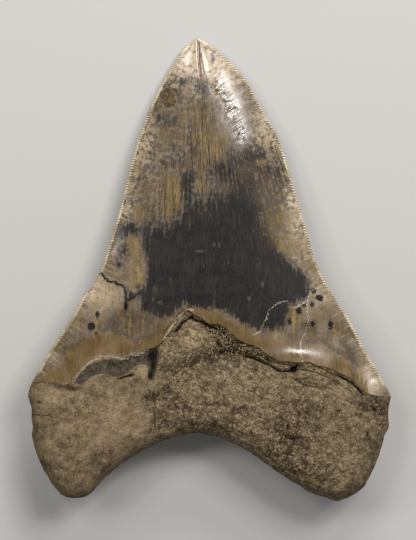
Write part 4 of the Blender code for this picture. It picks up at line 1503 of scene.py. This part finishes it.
def fossil_tooth():
    """Polished enamel over dry dentine: gloss, relief and colour all change at their border."""
    material = bpy.data.materials.new("polished enamel over dry dentine")
    material.use_nodes = True
    tree = material.node_tree
    shader = tree.nodes["Principled BSDF"]
    lying = add(tree, "ShaderNodeTexCoord").outputs["Object"]
    place = add(
        tree, "ShaderNodeVectorMath", {0: lying, 1: (1.0 / MM,) * 3}, operation="MULTIPLY"
    ).outputs[0]
    flow = add(tree, "ShaderNodeAttribute", attribute_name="flow").outputs["Vector"]
    edge = add(tree, "ShaderNodeAttribute", attribute_name="edge").outputs["Vector"]
    noises, dry = enamel_noises(tree, place, flow, edge), dentine_noises(tree, place, flow)
    border = pattern(tree, place, 1.5, 3.0, seed=6.0)
    enamel = inside(tree, kept(tree, "enamel"), border, 0.6, 0.1)
    across = add(tree, "ShaderNodeSeparateXYZ", {0: place}).outputs[0]
    shiny = gold_and_charcoal(tree, enamel_ground(tree, noises), noises)
    shiny = ochre_bands(tree, shiny, noises, levels(tree, across, -8.0, 12.0))
    shiny = enamel_marks(tree, shiny, noises, edge)
    colour = over(tree, dentine_colour(tree, dry), shiny, enamel)
    tree.links.new(colour, shader.inputs["Base Color"])
    shader.inputs["IOR"].default_value = WORN_ENAMEL_IOR
    shine = sums(tree, (kept(tree, "polish"), 1.0), (noises["blotch"], 0.5))
    gloss = add(
        tree, "ShaderNodeMapRange",
        {"Value": shine, "From Min": 0.15, "From Max": 1.2, "To Min": 0.5, "To Max": 0.13},
    ).outputs["Result"]
    glint = add(tree, "ShaderNodeMapRange", {
        "Value": times(tree, shine, enamel), "From Min": 0.2, "From Max": 0.9, "To Min": 0.06,
        "To Max": 0.9,
    }).outputs["Result"]
    tree.links.new(glint, shader.inputs["Specular IOR Level"])
    dull = add(tree, "ShaderNodeMix", {0: enamel, 2: DENTINE_ROUGHNESS, 3: gloss}).outputs[0]
    tree.links.new(dull, shader.inputs["Roughness"])
    tree.links.new(relief(tree, place, noises, dry, enamel), shader.inputs["Normal"])
    return material


mesh.materials.append(fossil_tooth())
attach(tooth, "root")
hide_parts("tooth")
print("material nodes", len(mesh.materials[0].node_tree.nodes))

# %% [markdown]
# ## Floor, light and camera
#
# The tooth lies on a plain pale floor. A broad soft light stands beyond the tip and shows the
# relief. Four smaller ones stand near the camera, each where one part of the polished enamel
# mirrors it: the long glare on the tip's shoulder, the white wedge beside the tip's groove, and
# the glints at the left. One large light would be simpler, but it would grey the dark field. The
# camera looks square on to the outer face, so it leans back from straight down by the tilt.
# Colours are shown as they are, with no film curve, so that a dark fossil stays dark.

# %% Floor and lights
WARM_WHITE = (1.0, 0.955, 0.94)
ROOM_STRENGTH = 0.15
LIGHTS = [
    ("light beyond the tip", 54.0, 80.0, 1.1, 0.4, 6.3),
    ("glare light", 21.4, 57.0, 0.84, 0.12, 0.85),
    ("crest light", 30.0, 41.0, 0.84, 0.22, 2.6),
    ("light from the left", 22.0, 137.0, 0.84, 0.19, 1.3),
    ("low light from the left", 33.0, 163.0, 0.84, 0.15, 0.8),
]


def plain_floor():
    """A wide flat sheet, a little below the worn places so that they don't flicker against it."""
    half = 3.0
    floor_mesh = bpy.data.meshes.new("floor")
    low = -1e-5
    corner = [(-half, -half, low), (half, -half, low), (half, half, low), (-half, half, low)]
    floor_mesh.from_pydata(corner, [], [(0, 1, 2, 3)])
    material = bpy.data.materials.new("matt paper floor")
    material.use_nodes = True
    shader = material.node_tree.nodes["Principled BSDF"]
    shader.inputs["Base Color"].default_value = linear("#cccdcb")
    shader.inputs["Roughness"].default_value = 0.9
    floor_mesh.materials.append(material)
    floor = bpy.data.objects.new("floor", floor_mesh)
    bpy.context.scene.collection.objects.link(floor)


def soft_light(name, off_normal, heading, distance, size, power):
    """A square area light that faces the tooth's middle. It stands off the outer face's normal
    by one angle, in the direction of the other, which is counted from +X towards the tip."""
    lean, turn = math.radians(off_normal), math.radians(heading)
    towards = np.array([
        math.sin(lean) * math.cos(turn), math.sin(lean) * math.sin(turn), math.cos(lean)
    ])
    data = bpy.data.lights.new(name, "AREA")
    data.size = size
    data.energy = power
    data.color = WARM_WHITE
    light = bpy.data.objects.new(name, data)
    light.location = laid_down(towards * distance / MM) * MM
    facing = Vector(TURN @ towards).to_track_quat("Z", "Y")
    light.rotation_euler = facing.to_euler()
    bpy.context.scene.collection.objects.link(light)


plain_floor()
for row in LIGHTS:
    soft_light(*row)
print(f"{len(LIGHTS)} lights, {sum(row[-1] for row in LIGHTS):.2f} W in all")
world = bpy.data.worlds.new("soft room")
world.use_nodes = True
world.node_tree.nodes["Background"].inputs["Color"].default_value = (*WARM_WHITE, 1.0)
world.node_tree.nodes["Background"].inputs["Strength"].default_value = ROOM_STRENGTH
bpy.context.scene.world = world
bpy.context.scene.view_settings.view_transform = "Standard"

# %% Camera
VIEW_CENTRE = (-0.4, -0.15, 1.5)
VIEW_HEIGHT = 163.6
VIEW_DISTANCE = 700.0
LONG_SIDE_OF_SENSOR = 36.0


def square_on_camera():
    """Above the outer face along its normal, with +Y of the tooth's plane upwards."""
    data = bpy.data.cameras.new("camera")
    data.sensor_width = LONG_SIDE_OF_SENSOR
    data.lens = LONG_SIDE_OF_SENSOR * VIEW_DISTANCE / VIEW_HEIGHT
    data.clip_start = 0.01
    camera = bpy.data.objects.new("camera", data)
    right, up, out = TURN @ np.eye(3)[0], TURN @ np.eye(3)[1], TURN @ np.eye(3)[2]
    place = (laid_down(np.array(VIEW_CENTRE)) + out * VIEW_DISTANCE) * MM
    turned = Matrix((right, up, out)).transposed().to_4x4()
    camera.matrix_world = Matrix.Translation(place) @ turned
    bpy.context.scene.collection.objects.link(camera)
    bpy.context.scene.camera = camera


square_on_camera()
print(f"the view is {VIEW_HEIGHT:.0f} mm high")
